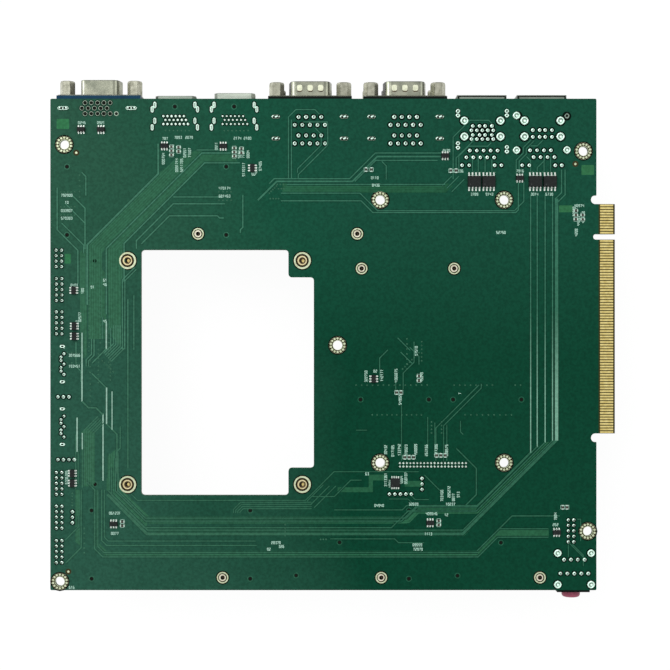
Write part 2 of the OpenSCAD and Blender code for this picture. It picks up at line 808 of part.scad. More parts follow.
// The side wall behind the front block, cut back in two slopes
module serial_cheek(back) {
    x = flange_w / 2 - serial_cheek_t;
    translate([x, 0, 0]) rotate([90, 0, 90]) linear_extrude(serial_cheek_t) polygon([
        [back + cut, 0], [-serial_depth, 0], [-serial_depth, -serial_h * 0.4],
        [-serial_depth * 0.75, -serial_h * 0.62], [-serial_depth * 0.5, -serial_h * 0.9],
        [back + cut, -serial_h],
    ]);
}

module serial_shells(x) {
    color("#aaa69a") translate([x, board_l, 0]) for (z = [lower_deck, upper_deck])
        d_shell(shell9_w, shell9_h, flange_front, -z, flange_h, true);
}

module serial_jackscrews(x) {
    color("#b9b3a4") translate([x, board_l, 0]) for (s = [-1, 1], z = [lower_deck, upper_deck])
        jackscrew(s * jack_pitch / 2, flange_front + flange_t, -z, serial_stud_l);
}

// Each contact is a round pin in the shell, a bar through the housing and a leg
module serial_contacts(x) {
    half = serial_pin_w / 2;
    color("#c9b27a") translate([x, board_l, 0])
        for (r = serial_rows, p = row(r[0], serial_pitch, 0, 0)) translate([p.x, 0, 0]) {
            translate([0, flange_front, -r[1]]) rotate([-90, 0, 0])
                cylinder(r = round_pin_r, h = flange_t + shell_reach - rim_setback, $fn = 16);
            block([-half, r[2] - half, -r[1] - half], [half, flange_front, -r[1] + half]);
            block([-half, r[2] - half, -r[1] - half], [half, r[2] + half, pin_top]);
        }
}

// Two straps beside the comb, each with two tongues through the board
module serial_locks(x) {
    back = flange_front - serial_wall;
    half = lock_l / 2;
    color("#b8b5aa") for (s = [-1, 1]) translate([x + s * lock_x, board_l, 0]) {
        block([-half, serial_lock_y[1] - 1.4, strap_z - strap_t], [half, back, strap_z]);
        for (y = serial_lock_y)
            block([-half, y - lock_w / 2, strap_z - strap_t / 2], [half, y + lock_w / 2, board_t + leg_out]);
    }
}

// ---------------------------------------------------------------- flat video ports

// The outline of a flat port: a rectangle with its two board-side corners cut off
function flat_outline(w, h, lean) = [
    [-w / 2, -h], [w / 2, -h], [w / 2, -lean],
    [w / 2 - lean * 0.8, 0], [-w / 2 + lean * 0.8, 0], [-w / 2, -lean],
];

module flat_shell(i) {
    inner = flat_outline(flat_w - 2 * flat_t, flat_h - 2 * flat_t, flat_inner_lean);
    length = flat_depth + flat_reach[i];
    color("#b4b2aa") translate([flat_x[i], board_l, 0]) {
        difference() {
            upright(-flat_depth, length) polygon(rounded(flat_outline(flat_w, flat_h, flat_lean), 0.4, 2));
            translate([0, 0, -flat_t]) upright(-flat_depth - cut, length + 2 * cut) polygon(inner);
            for (s = [-1, 1]) translate([s * flat_window_x, flat_window_y, -flat_h])
                cube([flat_window.x, flat_window.y, 2 * flat_t + cut], center = true);
        }
        for (s = [0, 1], t = flat_tabs) mirror([s, 0, 0]) flat_tab(t);
    }
}

// Inner tabs run straight down from the wall, outer tabs are bent outwards first
module flat_tab(t) {
    wall = flat_w / 2 - flat_t;
    half = flat_tab_l / 2;
    edge = flat_tab_t / 2;
    outer = t.x > flat_w / 2;
    foot = outer ? flat_tab_foot : flat_tab_foot - 0.6;
    block([t.x - edge, t.y - half, foot], [t.x + edge, t.y + half, board_t + leg_out]);
    if (outer) block([wall, t.y - half, foot - flat_tab_t], [t.x + edge, t.y + half, foot]);
}

// The moulded core with its tongue, and the peg that finds the board
module flat_core(i) {
    inset = 2 * flat_t + 2 * flat_fit;
    half = flat_tongue.x / 2;
    color("#202122") translate([flat_x[i], board_l, 0]) {
        translate([0, 0, -flat_t - flat_fit]) upright(-flat_depth + 0.2, flat_floor)
            polygon(flat_outline(flat_w - inset, flat_h - inset, flat_inner_lean));
        translate([0, 0, flat_tongue_z]) block(
            [-half, -flat_depth + flat_floor - cut, -flat_tongue.y / 2],
            [half, flat_reach[i] - flat_tongue_setback, flat_tongue.y / 2]
        );
        translate([flat_peg.x, flat_peg.y, 0]) cylinder(r = flat_peg_r, h = board_t);
    }
}

// Tails through the board, and the contact strips on both faces of the tongue
module flat_pins(i) {
    back = -flat_depth + flat_floor + 0.2;
    front = flat_reach[i] - flat_tongue_setback - 0.6;
    strip = [flat_contact_w, front - back, flat_contact_t];
    out = (flat_tongue.y + flat_contact_t) / 2;
    half_way = (front + back) / 2;
    color("#c6c6c2") {
        tails([for (p = flat_rows) [flat_x[i] + p.x, board_l + p.y]], flat_pin_w, 0, board_t + short_out);
        for (side = [-1, 1], p = row(side < 0 ? 9 : 10, flat_contact_pitch, 0, 0))
            translate([flat_x[i] + p.x, board_l + half_way, flat_tongue_z + side * out])
                cube(strip, center = true);
    }
}

// ---------------------------------------------------------------- network stacks

// Windows in the front: width, height and middle, counted down from the board
bus_window = [13.2, 5.8];
bus_decks = [5.4, 12.6];
jack_window = [12.4, 9.2];
jack_deck = 22.4;
light_window = [3.4, 2];
light_x = 5.7;
light_deck = network_h - 1.9;
// Depths of the cavities behind the windows
bus_depth = 10;
jack_depth = 14;
jack_side = 3.4;
latch_w = 6.2;
light_depth = 0.6;
light_fit = 0.05;
// Tongues of the bus ports and their contacts
tongue_l = 8.4;
tongue_w = 11.2;
tongue_t = 1.8;
bus_contact = [1, 7.4, 0.1];
// Spring wires of the jack
wire_count = 8;
wire_pitch = 1.02;
wire_w = 0.4;
// Spring fingers of the cage's side walls: length, gap, and place behind the edge
finger = [5, 0.3];
finger_y = -4;
finger_half = 1.25;

module window_square(size, z) {
    translate([-size.x / 2, -z - size.y / 2]) square(size);
}

module network_cage(i) {
    half = network_w / 2;
    inner = half - network_t;
    color("#b0aea6") translate([network_x[i], board_l, 0]) difference() {
        union() {
            difference() {
                block([-half, -network_depth, -network_h], [half, network_reach, -network_lip]);
                block(
                    [-inner, -network_depth + network_t, -network_h + network_t],
                    [inner, network_reach - network_t, cut]
                );
            }
            for (k = [0 : 3]) translate([leg_side(k) * leg_x, network_legs[i][k], 0])
                block([-network_t / 2, -leg_w / 2, -cut], [network_t / 2, leg_w / 2, board_t + leg_out]);
        }
        upright(network_reach - network_t - cut, network_t + 2 * cut) {
            for (z = bus_decks) window_square(bus_window, z);
            window_square(jack_window, jack_deck);
            for (s = [-1, 1]) translate([s * light_x, 0]) window_square(light_window, light_deck);
        }
        // Two cuts along each spring finger
        for (s = [-1, 1], z = bus_decks, k = [-1, 1]) translate([s * leg_x, finger_y, -z + k * finger_half])
            cube([2, finger.x, finger.y], center = true);
    }
}

module network_insert(i) {
    half = network_w / 2 - network_t - network_gap;
    skin = network_t + network_gap;
    color("#1b1c1d") translate([network_x[i], board_l, 0]) difference() {
        block([-half, -network_depth + skin, -network_h + skin], [half, network_face, 0]);
        for (z = bus_decks) upright(network_face - bus_depth, bus_depth + cut) window_square(bus_window, z);
        upright(network_face - jack_depth, jack_depth + cut) {
            translate([-jack_window.x / 2, -jack_deck - jack_side])
                square([jack_window.x, jack_side + jack_window.y / 2]);
            // Latch channel of the jack
            translate([-latch_w / 2, -jack_deck - jack_window.y / 2]) square([latch_w, jack_window.y / 2]);
        }
        upright(network_face - light_depth, light_depth + cut)
            for (s = [-1, 1]) translate([s * light_x, 0]) window_square(light_window, light_deck);
    }
}

module network_tongues(i) {
    root = network_face - bus_depth;
    color(i == 0 ? "#2f62b0" : "#d9d8d2") translate([network_x[i], board_l, 0]) for (z = bus_decks)
        block([-tongue_w / 2, root, -z - tongue_t / 2], [tongue_w / 2, root + tongue_l, -z + tongue_t / 2]);
}

// Tails and pegs, the contact strips on the tongues and the jack's spring wires
module network_pins(i) {
    root = network_face - bus_depth;
    color("#c6c6c2") translate([network_x[i], board_l, 0]) {
        tails(network_rows[i], network_pin_w, 0, board_t + pin_out);
        for (p = network_pegs, s = [-1, 1]) translate([s * p.x, p.y, 0])
            cylinder(r = network_peg_r, h = board_t + leg_out);
        for (z = bus_decks, x = bus_pins) translate([x - bus_contact.x / 2, root, -z + tongue_t / 2])
            cube(bus_contact);
        for (p = row(wire_count, wire_pitch, 0, 0)) translate([p.x - wire_w / 2, 0, 0]) jack_wire();
    }
}

// A wire that starts in the jack's roof and slopes back into its cavity
module jack_wire() {
    roof = -jack_deck + jack_window.y / 2;
    front = network_face - 2;
    back = network_face - jack_depth + 2.5;
    rotate([90, 0, 90]) linear_extrude(wire_w) polygon([
        [front, roof], [front - 1, roof], [back, roof - 3.4], [back, roof - 3.8], [front, roof - 0.4],
    ]);
}

module network_lights(i) {
    size = [light_window.x / 2 - light_fit, light_window.y / 2 - light_fit];
    for (s = [-1, 1]) color(s < 0 ? "#7fb45a" : "#d7b04a")
        translate([network_x[i] + s * light_x, board_l, -light_deck])
            block([-size.x, network_face - light_depth, -size.y], [size.x, network_reach, size.y]);
}

// ---------------------------------------------------------------- audio jack

// The audio edge faces the other way, so its frame is turned half round
module at_audio_edge() {
    translate([audio_x, 0, 0]) rotate([0, 0, 180]) children();
}

module audio_jack_housing() {
    half = audio_w / 2;
    color("#202123") at_audio_edge() difference() {
        union() {
            block([-half, -audio_depth, -audio_h], [half, audio_face - audio_bezel_t, 0]);
            block(
                [-half + audio_bezel, -cut, -audio_h + audio_bezel],
                [half - audio_bezel, audio_face, -audio_bezel]
            );
        }
        for (z = audio_decks) translate([0, -audio_depth + audio_back_wall, -z]) rotate([-90, 0, 0])
            cylinder(r = audio_bore_r, h = audio_depth + audio_reach);
        // Step in the rear wall and a groove along each side
        block(
            [-half - cut, -audio_depth - cut, -audio_h - cut],
            [half + cut, -audio_depth + audio_step, -audio_h * 0.72]
        );
        for (s = [-1, 1]) translate([s * half, -audio_depth / 2, -audio_h / 2])
            cube([2 * audio_groove, audio_depth - 2 * audio_step, audio_h / 5], center = true);
    }
}

// A coloured barrel with a rounded nose
module audio_barrel(z) {
    bevel = 0.3;
    shoulder = barrel_r - barrel_nose;
    at_audio_edge() translate([0, audio_face, -z]) rotate([-90, 0, 0]) rotate_extrude() polygon(concat(
        [[audio_bore_r, 0], [barrel_r, 0]],
        [
            for (a = [0 : 15 : 90])
                [shoulder + barrel_nose * cos(a), barrel_reach - barrel_nose + barrel_nose * sin(a)]
        ],
        [[audio_bore_r + bevel, barrel_reach], [audio_bore_r, barrel_reach - bevel]]
    ));
}

module audio_jack_microphone_barrel() {
    color("#cf7f9b") audio_barrel(audio_decks[0]);
}

module audio_jack_line_barrel() {
    color("#8fbf5b") audio_barrel(audio_decks[1]);
}

module audio_jack_pins() {
    color("#c6c6c2") at_audio_edge() {
        tails(audio_rows, audio_pin_w, 0, board_t + pin_out);
        pegs(audio_pegs, audio_peg_r);
    }
}

// ---------------------------------------------------------------- storage ports

storage_l = 16.4;
storage_w = 5.8;
storage_h = 8.4;
storage_wall = 0.9;
storage_half_bay = 6.2;
storage_cavity = 6.2;
// Side openings for a plug's latch: half width, depth and height
storage_latch = [1.4, 0.7, 5.4];
// The L-shaped key tongue: thickness, half length, foot and setback from the mouth
key_tongue_t = 1.2;
key_tongue_half = 5.2;
key_tongue_foot = 1.6;
key_tongue_setback = 0.4;
storage_strip = [0.15, 0.6];

module storage_port_housings() {
    half_w = storage_w / 2;
    half_l = storage_l / 2;
    floor_z = -storage_h + storage_cavity;
    tip_z = -storage_h + key_tongue_setback;
    half_t = key_tongue_t / 2;
    color("#1f2a2e") for (s = storage_places) translate([s.x, s.y, 0]) {
        difference() {
            block([-half_w, -half_l, -storage_h], [half_w, half_l, 0]);
            block(
                [storage_wall - half_w, -storage_half_bay, -storage_h - cut],
                [half_w - storage_wall, storage_half_bay, floor_z]
            );
            for (k = [-1, 1]) translate([0, k * half_l, 0]) block(
                [-storage_latch.x, -storage_latch.y, -storage_h - cut],
                [storage_latch.x, storage_latch.y, storage_latch.z - storage_h]
            );
        }
        block([-half_t, -key_tongue_half, tip_z], [half_t, key_tongue_half, floor_z + cut / 2]);
        block(
            [-half_t, key_tongue_half - key_tongue_t, tip_z],
            [key_tongue_foot, key_tongue_half, floor_z + cut / 2]
        );
        pegs(storage_pegs, storage_peg_r);
    }
}

// Tails, and the contact strips on the key tongue
module storage_port_contacts() {
    color("#cbb377") for (s = storage_places) {
        tails([for (p = storage_pins) s + p], storage_pin_w, 0, board_t + long_out);
        for (i = [-3 : 3]) translate([s.x - key_tongue_t / 2, s.y + i * storage_pitch, -storage_h])
            block([-storage_strip.x, -storage_strip.y / 2, 0.8], [0, storage_strip.y / 2, storage_cavity]);
    }
}

// ---------------------------------------------------------------- headers

// One cell row of a header base, with cut corners
function cell_outline(w, h, c) = [
    [-w / 2 + c, -h / 2], [w / 2 - c, -h / 2], [w / 2, -h / 2 + c], [w / 2, h / 2 - c],
    [w / 2 - c, h / 2], [-w / 2 + c, h / 2], [-w / 2, h / 2 - c], [-w / 2, -h / 2 + c],
];

module header_base(nx, ny, pitch, h, w, c) {
    translate([0, 0, -h]) linear_extrude(h) difference() {
        for (j = [0 : ny - 1]) translate([0, (j - (ny - 1) / 2) * pitch])
            polygon(cell_outline(nx * pitch, pitch, c));
        for (p = grid(nx, ny, pitch, [0, 0])) translate([p.x, p.y]) square(w + 2 * seat_clear, center = true);
    }
}

header_corner = 0.35;

module header_bases() {
    color("#1c1d1e") for (k = headers) translate([k[2].x, k[2].y, 0])
        header_base(k[0], k[1], header_pitch, header_base_h, header_w, header_corner);
}

module header_pins() {
    color("#d0b36a") tails(header_points, header_w, -header_base_h - header_pin_h);
}

fine_base_h = 1.5;
fine_pin_h = 3;
fine_corner = 0.2;

module fine_header_base() {
    color("#1c1d1e") translate([fine_at.x, fine_at.y, 0])
        rotate(90) header_base(2, fine_count, fine_pitch, fine_base_h, fine_w, fine_corner);
}

module fine_header_pins() {
    color("#d0b36a") tails(fine_points, fine_w, -fine_base_h - fine_pin_h, board_t + long_out);
}

wafer_w = 4.4;
wafer_h = 6.2;
wafer_floor = 1.6;
wafer_wall = 0.6;
// Length of a housing beyond its outer pins, and the two slots in its front wall
wafer_ends = 3;
wafer_slot = 0.7;
wafer_slot_inset = 1;
wafer_pin_gap = 0.8;

module wafer_housings() {
    color("#e6e2d6") for (k = wafers) translate([k[1].x, k[1].y, 0]) rotate(k[2])
        wafer_housing(k[0], ((k[0] - 1) * header_pitch + wafer_ends) / 2);
}

module wafer_housing(count, half_l) {
    half_w = wafer_w / 2;
    difference() {
        block([-half_l, -half_w, -wafer_h], [half_l, half_w, 0]);
        block(
            [wafer_wall - half_l, wafer_wall - half_w, -wafer_h - cut],
            [half_l - wafer_wall, half_w - wafer_wall, -wafer_floor]
        );
        for (s = [-1, 1]) translate([s * (half_l - wafer_slot_inset), 0, 0])
            block([-wafer_slot / 2, -half_w - cut, -wafer_h - cut], [wafer_slot / 2, 0, -wafer_floor]);
        for (p = row(count, header_pitch, 0, 0)) translate([p.x, p.y, -wafer_floor])
            cube([header_w + 2 * seat_clear, header_w + 2 * seat_clear, 4 * wafer_floor], center = true);
    }
}

module wafer_pins() {
    color("#cfcabc") tails(wafer_points, header_w, -wafer_h + wafer_pin_gap);
}

// ---------------------------------------------------------------- sockets on the component side

// Side view of a card socket: a mouth for the card between two lips.
// mouth holds its width, the depth of its middle under the board and its depth
module mouth_profile(back, front, h, mouth) {
    upper = -mouth[1] + mouth[0] / 2;
    lower = -mouth[1] - mouth[0] / 2;
    polygon([
        [-back, 0], [front, 0], [front, upper], [front - mouth[2], upper],
        [front - mouth[2], lower], [front, lower], [front - lip_slope, -h],
        [-back + lip_slope, -h], [-back, -h + lip_slope],
    ]);
}
lip_slope = 0.8;

// A locating peg that stops just inside the solder side
module socket_peg(y) {
    translate([0, y, 0]) cylinder(r = card_peg_r, h = board_t - peg_setback);
}
peg_setback = 0.2;

card_back = 3.4;
card_mouth = [1.1, 3.4, 5];
card_end = 1.2;
// Recess over the contacts' feet: width, height and distance from the ends
card_recess = [1.4, 1.2];
card_recess_end = 2.4;
card_foot_count = 26;
card_foot_pitch = 0.8;
card_foot = [2.3, 0.3, 0.35];
card_foot_out = 0.9;

module card_socket() {
    front = card_depth - card_back;
    recess = card_l / 2 - card_recess_end;
    difference() {
        union() {
            translate([0, card_l / 2, 0]) rotate([90, 0, 0]) linear_extrude(card_l)
                mouth_profile(card_back, front, card_h, card_mouth);
            for (s = [-1, 1]) translate([0, s * (card_l - card_end) / 2, 0])
                block([lip_slope - card_back, -card_end / 2, -card_h], [front, card_end / 2, 0]);
        }
        block([-card_back - cut, -recess, -card_recess.y], [card_recess.x - card_back, recess, cut]);
    }
    for (s = [-1, 1]) socket_peg(s * card_peg_pitch / 2);
}

module card_sockets() {
    color("#2a2b2c") for (c = card_places) translate([c.x, c.y, 0]) rotate(c.z) card_socket();
}

// A row of flat soldered feet along Y, hanging from the board's lower face
module foot_row(x, count, pitch, size) {
    for (i = [0 : count - 1]) translate([x, (i - (count - 1) / 2) * pitch - size.y / 2, -size.z]) cube(size);
}

// The soldered feet behind each socket, in the recess of its housing
module card_socket_contacts() {
    color("#cfc9b4") for (c = card_places) translate([c.x, c.y, 0]) rotate(c.z)
        foot_row(-card_back - card_foot_out, card_foot_count, card_foot_pitch, card_foot);
}

slot_back = 3.9;
slot_front = 4.6;
slot_mouth = [1.5, 5, 5.4];
slot_end = 1.6;
slot_guide = 2.2;
slot_recess = [1.6, 1.4];
slot_recess_end = 2.6;
slot_foot_count = 78;
slot_foot_pitch = 1;
slot_foot = [2, 0.36, 0.35];
slot_foot_out = 0.7;

module module_slot_housing() {
    recess = slot_l / 2 - slot_recess_end;
    color("#26282a") translate([slot_x, slot_y, 0]) {
        difference() {
            translate([0, slot_l / 2, 0]) rotate([90, 0, 0]) linear_extrude(slot_l)
                mouth_profile(slot_back, slot_front, slot_h, slot_mouth);
            block([-slot_back - cut, -recess, -slot_recess.y], [slot_recess.x - slot_back, recess, cut]);
            block([slot_front - slot_recess.x, -recess, -slot_recess.y], [slot_front + cut, recess, cut]);
        }
        for (s = [-1, 1]) {
            translate([0, s * slot_l / 2, 0])
                block(
                    [lip_slope - slot_back, -slot_end / 2, -slot_h],
                    [slot_front + slot_guide, slot_end / 2, 0]
                );
            socket_peg(s * slot_peg_pitch / 2);
        }
    }
}

module module_slot_contacts() {
    color("#cfc9b4") translate([slot_x, slot_y, 0])
        for (x = [-slot_back - slot_foot_out, slot_front + slot_foot_out - slot_foot.x])
            foot_row(x, slot_foot_count, slot_foot_pitch, slot_foot);
}

sim_l = 25.6;
sim_w = 16.4;
sim_h = 2.3;
sim_wall = 1.2;
sim_floor = 1.2;
// Opening in the floor, half width and half length
sim_opening = [4, 3.4];
sim_cover_t = 0.2;
sim_cover_slot = [16.6, 2.2];
sim_strip = [7.6, 1.1, 0.15];
sim_strip_pitch = 2.54;

module sim_holder_bodies() {
    half_l = sim_l / 2;
    half_w = sim_w / 2;
    color("#222324") for (s = sim_places) translate([s.x, s.y, 0]) {
        difference() {
            block([-half_l, -half_w, -sim_h], [half_l, half_w, 0]);
            block(
                [sim_wall - half_l, sim_wall - half_w, -sim_h - cut],
                [half_l + cut, half_w - sim_wall, -sim_floor]
            );
            block([-sim_opening.x, -sim_opening.y, -sim_floor - cut], [sim_opening.x, sim_opening.y, cut]);
        }
        for (k = [-1, 1]) translate([k * sim_peg.x, k * sim_peg.y, 0])
            cylinder(r = sim_peg_r, h = board_t - peg_setback);
    }
}

// The stamped cover has two long slots
module sim_holder_covers() {
    color("#b9b7b0") for (s = sim_places) translate([s.x, s.y, -sim_h - sim_cover_t])
        linear_extrude(sim_cover_t) difference() {
            translate([-sim_l / 2, -sim_w / 2]) polygon(rounded(frame_of(sim_l, sim_w), 0.6, 2));
            for (k = [-1, 1]) translate([0, k * sim_w / 4]) square(sim_cover_slot, center = true);
        }
}

// Six contact strips on the floor, three on each side of its opening
module sim_holder_contacts() {
    out = sim_opening.x + sim_strip.x / 2;
    color("#d0b36a") for (s = sim_places, k = [-1, 1], i = [-1 : 1])
        translate([s.x + k * out, s.y + i * sim_strip_pitch, -sim_floor - sim_strip.z / 2])
            cube(sim_strip, center = true);
}

// ---------------------------------------------------------------- chips on the solder side

small_outline = [4.9, 3.9, 1.4];
clamp = [2.9, 1.6, 1];
driver = [3.5, 3.2, 0.9];
chip_lift = 0.1;
lead_t = 0.15;

// A moulded body with slanted upper edges
module chip_body(size) {
    slope = size.z * 0.12;
    translate([0, size.y / 2, board_t + chip_lift]) rotate([90, 0, 0]) linear_extrude(size.y) polygon([
        [-size.x / 2, 0], [size.x / 2, 0], [size.x / 2, size.z * 0.55], [size.x / 2 - slope, size.z],
        [-size.x / 2 + slope, size.z], [-size.x / 2, size.z * 0.55],
    ]);
}

// A gull-wing lead from a body's side, on the +Y side when the side is 1
module gull_lead(x, size, side, w, reach) {
    t = lead_t;
    root = size.y / 2;
    knee = board_t + chip_lift + size.z * 0.5;
    flip = side < 0 ? 1 : 0;
    translate([x - w / 2, 0, 0]) rotate([90, 0, 90]) linear_extrude(w) mirror([flip, 0, 0]) polygon([
        [root, knee], [root, knee - t], [root + reach * 0.3, knee - t], [root + reach * 0.4, board_t],
        [root + reach, board_t], [root + reach, board_t + t], [root + reach * 0.4 + t, board_t + t],
        [root + reach * 0.3 + t, knee],
    ]);
}

module chip_bodies() {
    color("#2d2f31") {
        for (p = small_outline_at) translate([p.x, p.y, 0]) chip_body(small_outline);
        for (p = clamp_at) translate([p.x, p.y, 0]) chip_body(clamp);
        for (p = clamp_turned_at) translate([p.x, p.y, 0]) rotate(90) chip_body(clamp);
        translate([driver_at.x, driver_at.y, 0]) chip_body(driver);
    }
}

module leads_of(size, count, pitch, w, reach) {
    for (p = row(count, pitch, 0, 0), side = [-1, 1]) gull_lead(p.x, size, side, w, reach);
}

module chip_leads() {
    color("#c9cac6") {
        for (p = small_outline_at) translate([p.x, p.y, 0]) leads_of(small_outline, 4, 1.27, 0.45, 1.4);
        for (p = clamp_at) translate([p.x, p.y, 0]) leads_of(clamp, 3, 0.95, 0.4, 0.75);
        for (p = clamp_turned_at) translate([p.x, p.y, 0]) rotate(90) leads_of(clamp, 3, 0.95, 0.4, 0.75);
        translate([driver_at.x, driver_at.y, 0]) leads_of(driver, 4, 0.8, 0.35, 0.7);
    }
}

// Two-terminal chips in straight rows: count, pitch, middle and turn of the row
passive = [1.5, 0.8, 0.5];
passive_rows = [
    [3, 1.5, [44.4, 160.9], 90], [2, 1.5, [47, 161.4], 90], [3, 1.5, [67.4, 160.4], 90],
    [2, 1.5, [70, 160.9], 90], [3, 1.6, [192.4, 137.4], 90], [2, 1.6, [194.9, 136.6], 90],
    [2, 2, [116.6, 154], 0], [3, 1.6, [131.4, 48.7], 0], [3, 1.6, [143, 49.4], 0],
    [2, 1.6, [135, 77.6], 90], [2, 1.6, [127.6, 72.4], 0], [2, 2, [147.6, 153.6], 0],
    [2, 1.5, [26.4, 24.4], 90], [2, 1.5, [142.2, 24.7], 90], [2, 1.5, [188.4, 30.4], 0],
];

module chip_passives() {
    color("#8b7a63") for (k = passive_rows, p = row(k[0], k[1], 0, 0))
        translate([k[2].x, k[2].y, board_t]) rotate(k[3]) translate([p.x, 0, 0]) rotate(90)
            translate([-passive.x / 2, -passive.y / 2, 0]) cube(passive);
}

// ---------------------------------------------------------------- the assembly

framed() circuit_board();
framed() edge_contacts();
framed() mounting_lands();
framed() module_posts();
framed() card_nuts();
framed() analogue_port_housing();
framed() analogue_port_shell();
framed() analogue_port_jackscrews();
framed() analogue_port_pins();
framed() flat_shell(0);  // flat_port_1_shell
framed() flat_core(0);  // flat_port_1_core
framed() flat_pins(0);  // flat_port_1_pins
framed() flat_shell(1);  // flat_port_2_shell
framed() flat_core(1);  // flat_port_2_core
framed() flat_pins(1);  // flat_port_2_pins
framed() serial_housing(serial_x[0]);  // serial_stack_1_housing
framed() serial_shells(serial_x[0]);  // serial_stack_1_shells
framed() serial_jackscrews(serial_x[0]);  // serial_stack_1_jackscrews
framed() serial_contacts(serial_x[0]);  // serial_stack_1_contacts
framed() serial_locks(serial_x[0]);  // serial_stack_1_locks
framed() serial_housing(serial_x[1]);  // serial_stack_2_housing
framed() serial_shells(serial_x[1]);  // serial_stack_2_shells
framed() serial_jackscrews(serial_x[1]);  // serial_stack_2_jackscrews
framed() serial_contacts(serial_x[1]);  // serial_stack_2_contacts
framed() serial_locks(serial_x[1]);  // serial_stack_2_locks
framed() network_cage(0);  // network_stack_1_cage
framed() network_insert(0);  // network_stack_1_insert
framed() network_tongues(0);  // network_stack_1_tongues
framed() network_pins(0);  // network_stack_1_pins
framed() network_lights(0);  // network_stack_1_lights
framed() network_cage(1);  // network_stack_2_cage
framed() network_insert(1);  // network_stack_2_insert
framed() network_tongues(1);  // network_stack_2_tongues
framed() network_pins(1);  // network_stack_2_pins
framed() network_lights(1);  // network_stack_2_lights
framed() audio_jack_housing();
framed() audio_jack_line_barrel();
framed() audio_jack_microphone_barrel();
framed() audio_jack_pins();
framed() storage_port_housings();
framed() storage_port_contacts();
framed() header_bases();
framed() header_pins();
framed() wafer_housings();
framed() wafer_pins();
framed() fine_header_base();
framed() fine_header_pins();
framed() module_slot_housing();
framed() module_slot_contacts();
framed() card_sockets();
framed() card_socket_contacts();
framed() sim_holder_bodies();
framed() sim_holder_covers();
framed() sim_holder_contacts();
framed() chip_bodies();
framed() chip_leads();
framed() chip_passives();
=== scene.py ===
"""Looks of the carrier board: its finishes, copper, solder, printing and light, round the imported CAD."""

import json
import logging
import math
import random
from dataclasses import dataclass, field
from enum import Enum

import bpy
import numpy as np
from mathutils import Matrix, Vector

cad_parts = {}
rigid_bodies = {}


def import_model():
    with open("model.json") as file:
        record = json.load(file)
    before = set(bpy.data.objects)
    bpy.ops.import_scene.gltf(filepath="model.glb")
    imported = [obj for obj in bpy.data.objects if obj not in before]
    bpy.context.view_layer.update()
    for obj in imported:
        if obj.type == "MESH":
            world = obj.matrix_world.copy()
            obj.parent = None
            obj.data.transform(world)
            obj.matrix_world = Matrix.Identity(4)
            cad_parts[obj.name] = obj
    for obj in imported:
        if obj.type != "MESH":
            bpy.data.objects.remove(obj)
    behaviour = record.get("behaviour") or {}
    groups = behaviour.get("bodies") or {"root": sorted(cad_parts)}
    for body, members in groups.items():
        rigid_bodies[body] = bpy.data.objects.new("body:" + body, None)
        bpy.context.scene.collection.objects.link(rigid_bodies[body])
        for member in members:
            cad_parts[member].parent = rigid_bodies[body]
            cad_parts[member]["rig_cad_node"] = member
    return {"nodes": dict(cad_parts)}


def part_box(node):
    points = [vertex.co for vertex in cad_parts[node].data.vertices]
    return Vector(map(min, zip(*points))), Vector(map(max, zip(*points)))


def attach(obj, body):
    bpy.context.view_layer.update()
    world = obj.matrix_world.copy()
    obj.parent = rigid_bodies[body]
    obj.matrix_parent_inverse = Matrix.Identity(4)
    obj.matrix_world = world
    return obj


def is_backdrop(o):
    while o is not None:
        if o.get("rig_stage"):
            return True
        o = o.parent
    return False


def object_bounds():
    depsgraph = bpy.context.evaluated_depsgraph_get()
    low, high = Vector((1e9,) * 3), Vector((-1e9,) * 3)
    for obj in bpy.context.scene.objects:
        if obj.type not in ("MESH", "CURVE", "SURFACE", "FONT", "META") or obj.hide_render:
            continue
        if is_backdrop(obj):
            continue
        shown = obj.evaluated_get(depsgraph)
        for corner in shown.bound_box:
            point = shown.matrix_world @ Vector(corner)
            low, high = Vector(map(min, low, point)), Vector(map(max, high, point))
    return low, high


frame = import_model()

MM = 0.001
ROOT = "root"
SKIN = 0.01  # millimetres that a piece goes into what it lies on
LEAST_HALF = 0.05  # half the width under which a scrap of surface is no tail
WAVE_TURN = 0.314  # a band texture's pitch at a scale of 1
NOISE_SPAN = (0.3, 0.7)  # where nearly all of a noise lies
EDGE_LIKENESS = (0.86, 0.995)  # of a bevelled and a plain normal, at an edge and away from it

Point = tuple[float, float]
Place = tuple[float, float, float]
Sizes = tuple[float, float, float]
Colour = tuple[float, float, float]
Socket = bpy.types.NodeSocket
Material = bpy.types.Material

log = logging.getLogger("carrier_board")


def srgb(code: str) -> Colour:
    """Turn a colour as a paint chart gives it into the linear light that shaders use.

    Args:
        code: Two hexadecimal digits each for red, green and blue.

    Returns:
        The linear colour.
    """
    values = [int(code[i : i + 2], 16) for i in (0, 2, 4)]
    linear = [((v / 255 + 0.055) / 1.055) ** 2.4 if v > 10 else v / 3294.6 for v in values]
    return linear[0], linear[1], linear[2]


# ---------------------------------------------------------------- the board's own frame


class Heading(Enum):
    """The eight ways that a trace may run, as steps in x and y."""

    N = (0, 1)
    NE = (1, 1)
    E = (1, 0)
    SE = (1, -1)
    S = (0, -1)
    SW = (-1, -1)
    W = (-1, 0)
    NW = (-1, 1)


